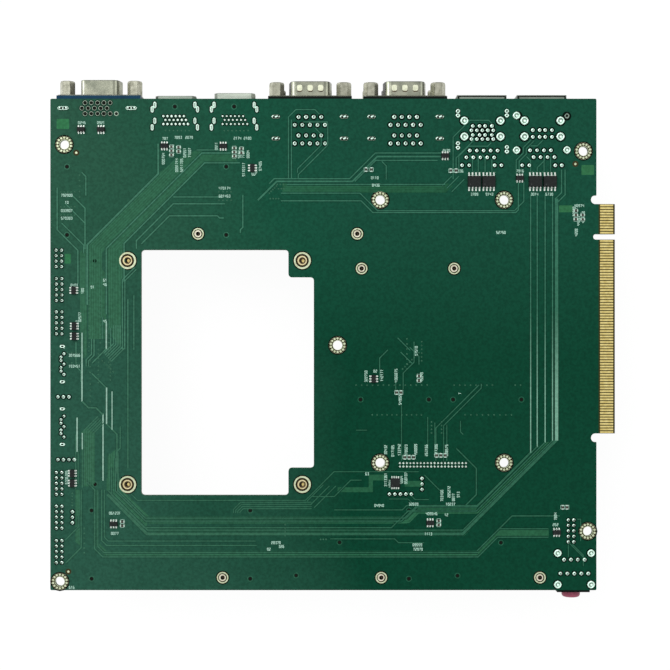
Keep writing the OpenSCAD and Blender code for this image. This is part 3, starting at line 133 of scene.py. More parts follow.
@dataclass(frozen=True)
class Board:
    """The plane of the board, with places on it in millimetres from its left end and its audio edge."""

    left: float
    front: float
    solder: float
    thick: float
    length: float

    @classmethod
    def from_frame(cls) -> "Board":
        """Read the board's plane from the CAD frame."""
        low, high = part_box("circuit_board")
        return cls(low.x, low.y, high.z, (high.z - low.z) / MM, (high.y - low.y) / MM)

    def at(self, x: float, y: float, out: float) -> Place:
        """Give the place in metres of a spot on the board, so many millimetres out of its solder face."""
        return self.left + x * MM, self.front + y * MM, self.solder + out * MM

    def out(self, height: float) -> float:
        """Turn a height in metres into millimetres out of the solder face."""
        return (height - self.solder) / MM

    def box(self, node: str) -> tuple[Point, Point]:
        """Give a CAD node's low and high corners on the board, in millimetres."""
        low, high = (((p.x - self.left) / MM, (p.y - self.front) / MM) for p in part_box(node))
        return low, high


@dataclass(frozen=True)
class Tail:
    """The end of a pin, tab or peg that stands out of the solder face."""

    x: float
    y: float
    half_x: float
    half_y: float
    out: float

    def grown(self, more: float) -> Point:
        """Give half its width and half its length with a margin all round."""
        return self.half_x + more, self.half_y + more


def islands(node: str, above: float) -> list[np.ndarray]:
    """Find the separate stretches of a CAD node's surface above a level.

    Args:
        node: The CAD node.
        above: The level in metres.

    Returns:
        The points of each stretch, in metres.
    """
    mesh = frame["nodes"][node].data
    places = np.empty(len(mesh.vertices) * 3)
    mesh.vertices.foreach_get("co", places)
    places = places.reshape(-1, 3)
    _, same = np.unique(np.round(places * 1e6).astype(np.int64), axis=0, return_inverse=True)
    same = same.ravel()
    parent = list(range(len(same)))

    def root(item: int) -> int:
        """Follow an item up to the first of its stretch.

        Args:
            item: A point's number.

        Returns:
            The number that stands for its whole stretch.
        """
        while parent[item] != item:
            parent[item] = parent[parent[item]]
            item = parent[item]
        return item

    high = places[:, 2] > above
    for polygon in mesh.polygons:
        corners = [int(same[i]) for i in polygon.vertices]
        if all(high[i] for i in polygon.vertices):
            for corner in corners[1:]:
                parent[root(corner)] = root(corners[0])
    groups: dict[int, list[int]] = {}
    for index in np.flatnonzero(high):
        groups.setdefault(root(int(same[index])), []).append(int(index))
    return [places[groups[key]] for key in sorted(groups)]


def tails(board: Board, node: str, above: float = SKIN) -> list[Tail]:
    """Measure what a CAD node puts through the solder face, or up to a little under it.

    Args:
        board: The board.
        node: The CAD node.
        above: Millimetres over the solder face from which it counts.

    Returns:
        One tail for each separate end, from left to right.
    """
    found = []
    for group in islands(node, board.solder + above * MM):
        low, high = group.min(0), group.max(0)
        middle = (low + high) / 2
        half = (high - low) / 2 / MM
        if min(half[0], half[1]) < LEAST_HALF:
            continue
        place = (middle[0] - board.left) / MM, (middle[1] - board.front) / MM
        found.append(Tail(*place, half[0], half[1], board.out(high[2])))
    return sorted(found, key=lambda t: (round(t.x, 2), round(t.y, 2)))


# ---------------------------------------------------------------- finishes


class Grain(Enum):
    """The way that a surface's fine marks run."""

    EVEN = (1.0, 1.0, 1.0)
    ALONG_X = (0.08, 1.0, 1.0)


class Tree:
    """A node tree while it is being put together."""

    def __init__(self, tree: bpy.types.NodeTree) -> None:
        """Take up a tree."""
        self.nodes = tree.nodes
        self.links = tree.links

    def feed(self, node: bpy.types.Node, socket: str | int, value: object) -> None:
        """Lead a socket into a node's input, or set the input to a plain value.

        Args:
            node: The node.
            socket: Name or number of its input.
            value: A socket, or the plain value.
        """
        if isinstance(value, Socket):
            self.links.new(value, node.inputs[socket])
        else:
            node.inputs[socket].default_value = value

    def node(self, kind: str, inputs: dict, **settings: object) -> bpy.types.Node:
        """Add a node.

        Args:
            kind: Its type, without the word that all shader nodes start with.
            inputs: A socket or a plain value for each input that is used.
            settings: The node's own options.

        Returns:
            The node.
        """
        node = self.nodes.new("ShaderNode" + kind)
        for name, value in settings.items():
            setattr(node, name, value)
        for socket, value in inputs.items():
            self.feed(node, socket, value)
        return node

    def find(self, kind: str) -> bpy.types.Node:
        """Give the node of a kind that the tree starts with."""
        return next(n for n in self.nodes if n.type == kind)

    def seen(self) -> Socket:
        """Say whether the camera, a gloss or a clear part looks at a surface.

        Returns:
            1 where one of them does, else 0.
        """
        path = self.node("LightPath", {})
        total = path.outputs["Is Camera Ray"]
        for name in ("Is Glossy Ray", "Is Transmission Ray"):
            total = self.node("Math", {0: total, 1: path.outputs[name]}, operation="MAXIMUM").outputs[0]
        return total


class Recipe(Tree):
    """A material's node tree while it is being put together."""

    def __init__(self, name: str) -> None:
        """Start a material that has only its shader.

        Args:
            name: The material's name.
        """
        self.material = bpy.data.materials.new(name)
        self.material.use_nodes = True
        super().__init__(self.material.node_tree)
        self.shader = self.find("BSDF_PRINCIPLED")
        self.places = self.node("TexCoord", {})

    def dress(self, **inputs: object) -> None:
        """Lead sockets or plain values into the shader's inputs, with _ for a space in their names."""
        for name, value in inputs.items():
            self.feed(self.shader, name.replace("_", " "), value)

    def axis(self, name: str, of: str = "Object") -> Socket:
        """Give one axis of a spot's place in the frame, in metres, or of its Normal."""
        return self.node("SeparateXYZ", {"Vector": self.places.outputs[of]}).outputs[name]

    def noise(self, size: float, grain: Grain = Grain.EVEN, detail: float = 3.0) -> Socket:
        """Add noise over the surface.

        Args:
            size: Size of its patches in millimetres.
            grain: How they are drawn out.
            detail: How much finer marks ride on them.

        Returns:
            The noise, about 0.5.
        """
        mapping = self.node("Mapping", {"Vector": self.places.outputs["Object"], "Scale": grain.value})
        inputs = {"Vector": mapping.outputs["Vector"], "Scale": 1 / (size * MM), "Detail": detail}
        return self.node("TexNoise", inputs).outputs["Fac"]

    def wave(self, axis: str, pitch: float, distortion: float = 0.0) -> Socket:
        """Add bands across an axis.

        Args:
            axis: X, Y or Z.
            pitch: From band to band in millimetres.
            distortion: How much they waver.

        Returns:
            The bands, from 0 to 1.
        """
        inputs = {"Vector": self.places.outputs["Object"], "Scale": WAVE_TURN / (pitch * MM)}
        inputs["Distortion"] = distortion
        return self.node("TexWave", inputs, bands_direction=axis).outputs["Fac"]

    def spread(self, source: Socket, span: Point, low: float = 0.0, high: float = 1.0) -> Socket:
        """Stretch a value from one span to another.

        Args:
            source: The value.
            span: Its ends.
            low: What the first end becomes.
            high: What the second end becomes.

        Returns:
            The stretched value, held between the ends.
        """
        ends = dict(zip(("From Min", "From Max", "To Min", "To Max"), (*span, low, high)))
        return self.node("MapRange", {"Value": source, **ends}).outputs["Result"]

    def blend(self, share: Socket, first: Socket | Colour, second: Socket | Colour) -> Socket:
        """Mix two colours.

        Args:
            share: How much of the second.
            first: Colour where the share is 0.
            second: Colour where the share is 1.

        Returns:
            The mixed colour.
        """
        ends = [c if isinstance(c, Socket) else (*c, 1) for c in (first, second)]
        return self.node("Mix", {"Factor": share, 6: ends[0], 7: ends[1]}, data_type="RGBA").outputs[2]

    def sum(self, first: Socket, second: Socket, weight: float) -> Socket:
        """Add a share of one value to another."""
        return self.node("Math", {0: second, 1: weight, 2: first}, operation="MULTIPLY_ADD").outputs[0]

    def edges(self, radius: float) -> Socket:
        """Give how near a spot lies to a sharp edge.

        Args:
            radius: How far an edge reaches, in millimetres.

        Returns:
            1 at an edge and 0 away from it.
        """
        bevel = self.node("Bevel", {"Radius": radius * MM}, samples=6).outputs["Normal"]
        plain = self.node("NewGeometry", {}).outputs["Normal"]
        likeness = self.node("VectorMath", {0: bevel, 1: plain}, operation="DOT_PRODUCT")
        return self.spread(likeness.outputs["Value"], EDGE_LIKENESS, 1.0, 0.0)

    def sheen(self, stops: tuple[Point, ...], most: float) -> Socket:
        """Paint highlights and shade on bent sheet, from how far it turns left or right.

        Args:
            stops: Places from fully left (0) to fully right (1), each with its share of the most.
            most: The highest factor.

        Returns:
            The factor.
        """
        turn = self.spread(self.axis("X", "Normal"), (-1.0, 1.0))
        ramp = self.node("ValToRGB", {"Fac": turn})
        elements = ramp.color_ramp.elements
        for stop, _ in stops[1:-1]:
            elements.new(stop)
        for element, (stop, share) in zip(elements, stops):
            element.position = stop
            element.color = (share, share, share, 1.0)
        return self.spread(ramp.outputs["Color"], (0.0, 1.0), 0.0, most)

    def emboss(self, height: Socket, depth: float) -> None:
        """Let a value raise the surface by up to a depth in millimetres."""
        bump = self.node("Bump", {"Strength": 1.0, "Distance": depth * MM, "Height": height})
        self.dress(Normal=bump.outputs["Normal"])


@dataclass(frozen=True)
class Finish:
    """A finish of one colour that drifts a little, with its grain, a darker pin tip, and painted shade and
    highlights along edges and bends.
    """

    name: str
    colour: str
    shade: str
    metallic: float = 0.0
    rough: Point = (0.4, 0.6)
    patch: float = 3.0
    grain_size: float = 0.25
    grain: Grain = Grain.EVEN
    depth: float = 0.01
    specular: float = 0.5
    coat: float = 0.0
    # A pin's darker cut tip above the board: its dull end, with painted shade.
    tip: str = ""
    # Painted shade along sharp edges, and how far it reaches.
    edge: str = ""
    edge_reach: float = 0.35
    # Painted highlights and shade where the surface turns left or right, up to the most.
    sheen: tuple[Point, ...] = ()
    most: float = 2.0
    fine_share: float = 0.5
    drift: Point = (0.55, 0.95)
    tip_band: float = 0.05

    def make(self, board: Board) -> Material:
        """Put the material together.

        Args:
            board: The board, because a pin's cut tip above it takes a darker colour: its dull end, with
                painted shade.

        Returns:
            The material.
        """
        recipe = Recipe(self.name)
        fine = recipe.noise(self.grain_size, self.grain, 4.0)
        patches = recipe.sum(recipe.noise(self.patch, self.grain), fine, self.fine_share)
        colour = recipe.blend(recipe.spread(patches, self.drift), srgb(self.colour), srgb(self.shade))
        if self.tip:
            span = (board.solder, board.solder + self.tip_band * MM)
            above = recipe.spread(recipe.axis("Z"), span)
            colour = recipe.blend(above, colour, srgb(self.tip))
        # Painted highlights and shade on bent sheet.
        if self.sheen:
            factor = {0: colour, "Scale": recipe.sheen(self.sheen, self.most)}
            colour = recipe.node("VectorMath", factor, operation="SCALE").outputs[0]
        # Painted shade along sharp edges.
        if self.edge:
            colour = recipe.blend(recipe.edges(self.edge_reach), colour, srgb(self.edge))
        recipe.dress(Base_Color=colour, Roughness=recipe.spread(fine, NOISE_SPAN, *self.rough))
        recipe.dress(Metallic=self.metallic, Specular_IOR_Level=self.specular, Coat_Weight=self.coat)
        recipe.emboss(fine, self.depth)
        return recipe.material


@dataclass(frozen=True)
class MaskFinish:
    """Solder mask over copper on glass cloth: darker to the right, with the cloth's weave showing.

    Its left, middle and right columns have a colour each. Every column rises over its own span of y,
    from its colour times a low factor to its colour times a high one; these rises paint the light's sheen.
    """

    name: str
    left: Colour
    middle: Colour
    right: Colour
    shadow: float = 0.76
    mottle_patch: float = 1.0
    mottle_span: Point = (0.36, 0.62)
    cloud_patch: float = 60.0
    cloud_reach: float = 0.02
    weave: float = 0.55
    waver: float = 0.6
    fuzz: Point = (0.3, 1.5)  # patch, weight against the weave
    depth: float = 0.003
    gloss_patch: float = 2.0
    specular: float = 0.035
    rough: Point = (0.3, 0.42)
    slant: float = 0.25
    columns_at: Sizes = (30.0, 125.0, 172.0)
    spans: tuple[Point, Point, Point] = ((98.0, 134.0), (84.0, 134.0), (84.0, 142.0))
    lows: tuple[Colour, Colour, Colour] = ((0.84, 0.93, 0.96), (0.26, 0.65, 0.56), (0.5, 0.79, 0.71))
    highs: tuple[Colour, Colour, Colour] = ((1.0, 0.99, 0.97), (0.95, 1.05, 1.0), (1.4, 1.1, 1.12))

    def tone(self, recipe: Recipe, board: Board) -> Socket:
        """Lay the mask's colour over the board.

        Args:
            recipe: The material so far.
            board: The board.

        Returns:
            The colour.
        """
        across = recipe.sum(recipe.axis("X"), recipe.axis("Y"), self.slant)
        clouds = recipe.noise(self.cloud_patch, detail=1.0)
        cloudy = recipe.spread(clouds, NOISE_SPAN, -self.cloud_reach, self.cloud_reach)
        across = recipe.sum(across, cloudy, 1.0)
        start = board.left + self.slant * board.front
        stops = [start + at * MM for at in self.columns_at]
        shares = [recipe.spread(across, span) for span in zip(stops, stops[1:])]
        along = recipe.axis("Y")
        rises = [recipe.spread(along, [board.front + y * MM for y in span]) for span in self.spans]
        columns = list(zip((self.left, self.middle, self.right), self.lows, self.highs, rises))
        tones = []
        for shade in (self.shadow, 1.0):
            tone = []
            for base, low, high, rise in columns:
                ends = [tuple(c * k * shade for c, k in zip(base, factor)) for factor in (low, high)]
                tone.append(recipe.blend(rise, *ends))
            tones.append(recipe.blend(shares[1], recipe.blend(shares[0], *tone[:2]), tone[2]))
        mottle = recipe.noise(self.mottle_patch, detail=6.0)
        return recipe.blend(recipe.spread(mottle, self.mottle_span), *tones)

    def surface(self, recipe: Recipe) -> None:
        """Give the mask its gloss and the cloth's weave under it.

        Args:
            recipe: The material so far.
        """
        warp, weft = (recipe.wave(axis, self.weave, self.waver) for axis in "XY")
        size, weight = self.fuzz
        recipe.emboss(recipe.sum(recipe.sum(warp, weft, 1.0), recipe.noise(size), weight), self.depth)
        rough = recipe.spread(recipe.noise(self.gloss_patch), NOISE_SPAN, *self.rough)
        recipe.dress(Roughness=rough, Specular_IOR_Level=self.specular)

    def make(self, board: Board) -> Material:
        """Put the plain mask together, as it lies over copper.

        Args:
            board: The board.

        Returns:
            The material.
        """
        recipe = Recipe(self.name)
        recipe.dress(Base_Color=self.tone(recipe, board))
        self.surface(recipe)
        return recipe.material


@dataclass(frozen=True)
class LaminateFinish:
    """The board itself: masked faces, a bare tongue tip and sawn edges that show the layers."""

    mask: MaskFinish
    bare: tuple[str, str] = ("423e1e", "2c2c18")
    sawn: tuple[str, str] = ("607a54", "3c543c")
    layer_pitch: float = 0.26
    grain_size: float = 0.5
    grain_span: Point = (0.35, 0.65)
    margin: float = 0.5
    fade: float = 0.02
    upright_span: Point = (0.5, 0.6)

    def make(self, board: Board) -> Material:
        """Put the board's material together.

        Args:
            board: The board.

        Returns:
            The material.
        """
        recipe = Recipe("laminate")
        grain = recipe.spread(recipe.noise(self.grain_size), self.grain_span)
        bare = recipe.blend(grain, *(srgb(code) for code in self.bare))
        tip = board.left + (board.box("edge_contacts")[0][0] - self.margin) * MM
        masked = recipe.spread(recipe.axis("X"), (tip, tip + self.fade * MM))
        faces = recipe.blend(masked, self.mask.tone(recipe, board), bare)
        sawn = recipe.blend(recipe.wave("Z", self.layer_pitch), *(srgb(code) for code in self.sawn))
        upright = recipe.node("Math", {0: recipe.axis("Z", "Normal")}, operation="ABSOLUTE").outputs[0]
        recipe.dress(Base_Color=recipe.blend(recipe.spread(upright, self.upright_span), sawn, faces))
        self.mask.surface(recipe)
        return recipe.material


# The masks' rises over y paint the sheen of the light across the board.
MASK = MaskFinish("mask", (0.031, 0.118, 0.074), (0.0092, 0.088, 0.052), (0.0072, 0.078, 0.045))
TRACE_MASK = MaskFinish(
    "mask_over_traces", (0.072, 0.225, 0.145), (0.050, 0.195, 0.122), (0.044, 0.180, 0.112),
    spans=((58.0, 90.0), (60.0, 120.0), (60.0, 104.0)),
    lows=((0.72, 0.78, 0.74), (0.62, 0.72, 0.66), (0.8, 0.84, 0.8)),
    highs=((1.04, 1.04, 1.04), (1.12, 1.1, 1.12), (1.08, 1.06, 1.08)),
)
PALE_MASK = MaskFinish(
    "mask_over_pale_traces", (0.36, 0.60, 0.48), (0.30, 0.54, 0.42), (0.21, 0.45, 0.33),
    spans=((20.0, 30.0), (20.0, 30.0), (70.0, 102.0)),
    lows=((1.0, 1.0, 1.0),) * 3, highs=((1.0, 1.0, 1.0), (1.0, 1.0, 1.0), (0.24, 0.42, 0.36)),
)
SHOULDER_MASK = MaskFinish(
    "mask_on_shoulders", (0.024, 0.098, 0.061), (0.0072, 0.070, 0.042), (0.0050, 0.056, 0.033)
)
POUR_MASK = MaskFinish(
    "mask_over_pours", (0.037, 0.148, 0.080), (0.026, 0.138, 0.070), (0.018, 0.108, 0.052),
    lows=((1.0, 1.0, 1.0), (0.85, 0.93, 0.9), (1.5, 1.28, 1.3)), highs=((1.0, 1.0, 1.0),) * 3,
)
BAND_MASK = MaskFinish(
    "mask_over_bands", (0.048, 0.180, 0.104), (0.032, 0.158, 0.086), (0.026, 0.136, 0.070),
    lows=((1.0, 1.0, 1.0), (0.85, 0.93, 0.9), (1.5, 1.28, 1.3)), highs=((1.0, 1.0, 1.0),) * 3,
)
SQUARE_MASK = MaskFinish(
    "mask_over_squares", (0.042, 0.220, 0.092), (0.036, 0.200, 0.084), (0.028, 0.170, 0.070)
)
# Near-black mask: rings of painted shade round the solder joints.
JOINT_SHADE_MASK = MaskFinish(
    "mask_round_lands", (0.001, 0.012, 0.007), (0.0004, 0.008, 0.004), (0.0003, 0.006, 0.003)
)

SOLDER = Finish("solder", "e6fdf1", "d0f6e2", 0.7, (0.22, 0.4), 0.6, 0.3, depth=0.03)
DULL_SOLDER = Finish("dull_solder", "b6ceb8", "849c88", 0.35, (0.3, 0.55), 0.8, 0.3, depth=0.05)
# Darker solder: the ring on the lone cage tab, and painted shade between the crowns' collars and domes.
PEG_SOLDER_AND_SHADE = Finish("peg_solder", "96aa9c", "56685c", 0.6, (0.25, 0.5), 0.8, 0.4, depth=0.06)
# Pale nickel: painted highlights on the serial shells' dimples.
DIMPLE_HIGHLIGHT = Finish("burnished_bump", "eef0d6", "ced2b6", 0.7, (0.2, 0.35), 1.0, 0.2, depth=0.006)
# Pale steel with painted shade along its edges.
PALE_STEEL = Finish(
    "pale_steel", "b0b8ac", "8a9288", 1.0, (0.28, 0.48), 2.0, 0.12, Grain.ALONG_X, 0.006, edge="3c423a",
    edge_reach=0.4,
)
SILK = Finish("silk_ink", "ccf8e5", "b4decb", 0.0, (0.55, 0.75), 0.6, 0.15, depth=0.004)
GOLD = Finish("gold_plating", "e2d28e", "c4b06a", 1.0, (0.24, 0.42), 1.2, 0.2, depth=0.004)
LAND = Finish("land_plating", "d2ddbd", "acb38e", 0.75, (0.3, 0.5), 0.8, 0.2, depth=0.006)
# Dark brown: painted shade between the lands' beads and in the posts' and nuts' grooves.
LAND_SHADE = Finish("land_shadow", "342c14", "22140c", 0.1, (0.5, 0.7), 0.7, 0.2, depth=0.004, specular=0.1)
# Near black: the mask's gap round every land, darkened as painted shade.
RIM = Finish("land_rim", "0c160a", "081008", 0.0, (0.5, 0.7), 0.5, 0.2, depth=0.004, specular=0.05)
VIA = Finish("tented_hole", "467c62", "285842", 0.1, (0.4, 0.6), 0.5, 0.2, depth=0.004, specular=0.2)
SIGHT_RING = Finish("sighting_ring", "423a1e", "2e2e1a", 0.0, (0.5, 0.7), 0.5, 0.2, specular=0.1)
TIN_END = Finish("tinned_end", "d4f0e2", "a4c0b2", 0.5, (0.25, 0.5), 0.4, 0.15, depth=0.01)
# Near black: painted shade in holes, slots and bores, on the analogue port's pins in their holes, and round
# the cage lips.
PAINTED_SHADE = Finish("dark_bore", "0a0e0a", "16160f", 0.0, (0.5, 0.7), 0.4, 0.15, specular=0.08)
# Brass in shade: painted shade on the posts' threads and below the dimples' highlights, and a dim painted
# highlight in the nuts' bores.
SHADED_BRASS = Finish("bore_brass", "543e20", "221a0e", 0.5, (0.4, 0.6), 0.6, 0.15)
# Painted highlight on the floor of a post's bore.
BORE_LIGHT = Finish("bore_light", "e0ce88", "aa9254", 0.6, (0.3, 0.5), 0.6, 0.15)
CHIP_MARK = Finish("chip_dimple", "464848", "343636", 0.0, (0.4, 0.6), 0.4, 0.1, depth=0.004)

# Painted highlights and shade on bent sheet and on turned screws: shares of the brightest, from fully left
# to fully right.
SHEET_PAINTED_SHEEN = (
    (0.0, 0.02), (0.1, 0.04), (0.14, 1.0), (0.34, 1.0), (0.4, 0.21), (0.66, 0.2), (0.74, 0.4), (0.82, 0.4),
    (0.88, 0.1), (1.0, 0.3),
)
SCREW_PAINTED_SHEEN = (
    (0.0, 0.7), (0.16, 0.7), (0.22, 1.0), (0.3, 0.5), (0.6, 0.4), (0.72, 0.5), (0.8, 0.6), (1.0, 0.6),
)
FINISHES = {
    "gold_plating": GOLD,
    "post_brass": Finish("turned_brass", "ded4ac", "b8a876", 1.0, (0.22, 0.4), 1.6, 0.15, depth=0.008),
    "nut_tin": Finish("tinned_nut", "e2dec8", "b2ac96", 1.0, (0.25, 0.45), 1.4, 0.15),
    # The shells, screws and stamped steel have painted shade along their edges; the shells and screws also
    # have painted highlights and shade where they bend.
    "shell_nickel": Finish(
        "satin_nickel", "989a89", "74786a", 0.8, (0.28, 0.45), 3.2, 0.4, edge="2c2e26", edge_reach=0.55,
        sheen=SHEET_PAINTED_SHEEN, most=4.8,
    ),
    "jackscrew_nickel": Finish(
        "turned_nickel", "b6b6a4", "8a8a79", 0.5, (0.2, 0.36), 1.6, 0.25, depth=0.008, edge="3c3c30",
        edge_reach=0.4, sheen=SCREW_PAINTED_SHEEN, most=2.3,
    ),
    "port_steel": Finish(
        "stamped_steel", "8e988d", "6c766d", 1.0, (0.3, 0.5), 3.0, 0.12, Grain.ALONG_X, 0.006,
        edge="383e38", edge_reach=0.4,
    ),
    # A pin's tip above the board is darker: its dull end, with painted shade.
    "pin_tin": Finish("tinned_pin", "c0d4c9", "788c81", 1.0, (0.25, 0.5), 0.6, 0.12, tip="687a70"),
    "pin_gold": Finish("gold_flash", "d6c088", "968254", 1.0, (0.2, 0.4), 0.6, 0.12, tip="546054"),
    "port_blue": Finish("moulded_blue", "164866", "113a54", 0.0, (0.4, 0.6), 4.0, 0.12, specular=0.12),
    "black_plastic": Finish(
        "moulded_black", "070e0c", "0f1613", 0.0, (0.42, 0.62), 4.0, 0.12, specular=0.08,
    ),
    "slot_plastic": Finish("moulded_grey", "181b1a", "0e1010", 0.0, (0.42, 0.62), 4.0, 0.12, specular=0.15),
    "bus_blue": Finish("tongue_blue", "2860b0", "204e96", 0.0, (0.4, 0.6), 3.0, 0.12),
    "bus_white": Finish("tongue_white", "e0ded6", "ceccc4", 0.0, (0.4, 0.6), 3.0, 0.12),
    "indicator": Finish("light_pipe", "d6da96", "bcc278", 0.0, (0.12, 0.25), 2.0, 0.2, coat=0.4),
    "barrel_pink": Finish("moulded_pink", "b0586e", "98485e", 0.0, (0.35, 0.5), 2.5, 0.12, specular=0.3),
    "barrel_green": Finish("moulded_green", "84b25c", "74a250", 0.0, (0.35, 0.5), 2.5, 0.12),
    "wafer_ivory": Finish("moulded_ivory", "e2dac6", "d2c8b0", 0.0, (0.4, 0.6), 3.0, 0.12),
    "chip_black": Finish("moulded_epoxy", "1c2120", "101413", 0.0, (0.5, 0.7), 1.0, 0.1, specular=0.2),
    "passive_body": Finish("fired_ceramic", "1e1e1a", "3e3828", 0.0, (0.45, 0.65), 1.2, 0.15),
}
BRIGHT_PIN = Finish("bright_pin", "e2e6e0", "b0b6b0", 1.0, (0.25, 0.5), 0.6, 0.12)


@dataclass
class Wardrobe:
    """Every finish as a material, made once, and the board that they are for."""

    board: Board
    made: dict[str, Material] = field(default_factory=dict)

    def get(self, finish: Finish | MaskFinish) -> Material:
        """Give a finish's material, making it the first time.

        Args:
            finish: The finish.

        Returns:
            Its material.
        """
        if finish.name not in self.made:
            self.made[finish.name] = finish.make(self.board)
        return self.made[finish.name]


# ---------------------------------------------------------------- closed solids


# Profiles of a mound and of a ring's back: how far in each outline lies, and its share of the height.
SLOPE = ((0.0, -0.02), (0.0, 0.06), (0.15, 0.3), (0.4, 0.62), (0.7, 0.86), (1.05, 1.0))
BACK = ((0, 0), (0, 0.6), (0.35, 1), (0.7, 1), (1, 0.5), (1, 0))
# Profile of a dome: each outline's share of the radius, and of the height.
BULGE = ((1.0, -0.02), (1.0, 0.1), (0.92, 0.5), (0.78, 0.76), (0.55, 0.92), (0.3, 0.98), (0.06, 1.0))
TURN_SIDES = 20  # of a thread
CREST = 0.4  # how far a crest's foot reaches up and down, as a share of the pitch
LEAST_MITRE = 0.3  # which keeps a sharp bend from running out


def rounded(x: float, y: float, half_x: float, half_y: float, radius: float, steps: int = 4) -> list[Point]:
    """Draw a rectangle with round corners, or a circle where the radius is the half width.

    Args:
        x: Middle, in millimetres.
        y: Middle, in millimetres.
        half_x: Half the width.
        half_y: Half the length.
        radius: Corner radius.
        steps: Sides in each quarter turn.

    Returns:
        The outline, anticlockwise.
    """
    radius = min(radius, half_x, half_y)
    outline = []
    for quarter, (sx, sy) in enumerate(((1, 1), (-1, 1), (-1, -1), (1, -1))):
        for step in range(steps + 1):
            angle = math.pi / 2 * (quarter + step / steps)
            along = x + sx * (half_x - radius) + radius * math.cos(angle)
            outline.append((along, y + sy * (half_y - radius) + radius * math.sin(angle)))
    return outline


def parallel(points: list[Point], distance: float) -> list[Point]:
    """Shift a broken line sideways, with mitred bends.

    Args:
        points: The line.
        distance: How far, to the left of its run.

    Returns:
        The shifted line.
    """
    shifted = []
    for i, here in enumerate(points):
        before = points[i - 1] if i else None
        after = points[i + 1] if i + 1 < len(points) else None
        runs = []
        for a, b in ((before, here), (here, after)):
            if a is not None and b is not None:
                size = math.hypot(b[0] - a[0], b[1] - a[1])
                runs.append(((b[0] - a[0]) / size, (b[1] - a[1]) / size))
        normal = (-sum(r[1] for r in runs), sum(r[0] for r in runs))
        size = math.hypot(*normal)
        normal = (normal[0] / size, normal[1] / size)
        stretch = 1 / max(LEAST_MITRE, normal[0] * -runs[0][1] + normal[1] * runs[0][0])
        shifted.append((here[0] + normal[0] * distance * stretch, here[1] + normal[1] * distance * stretch))
    return shifted


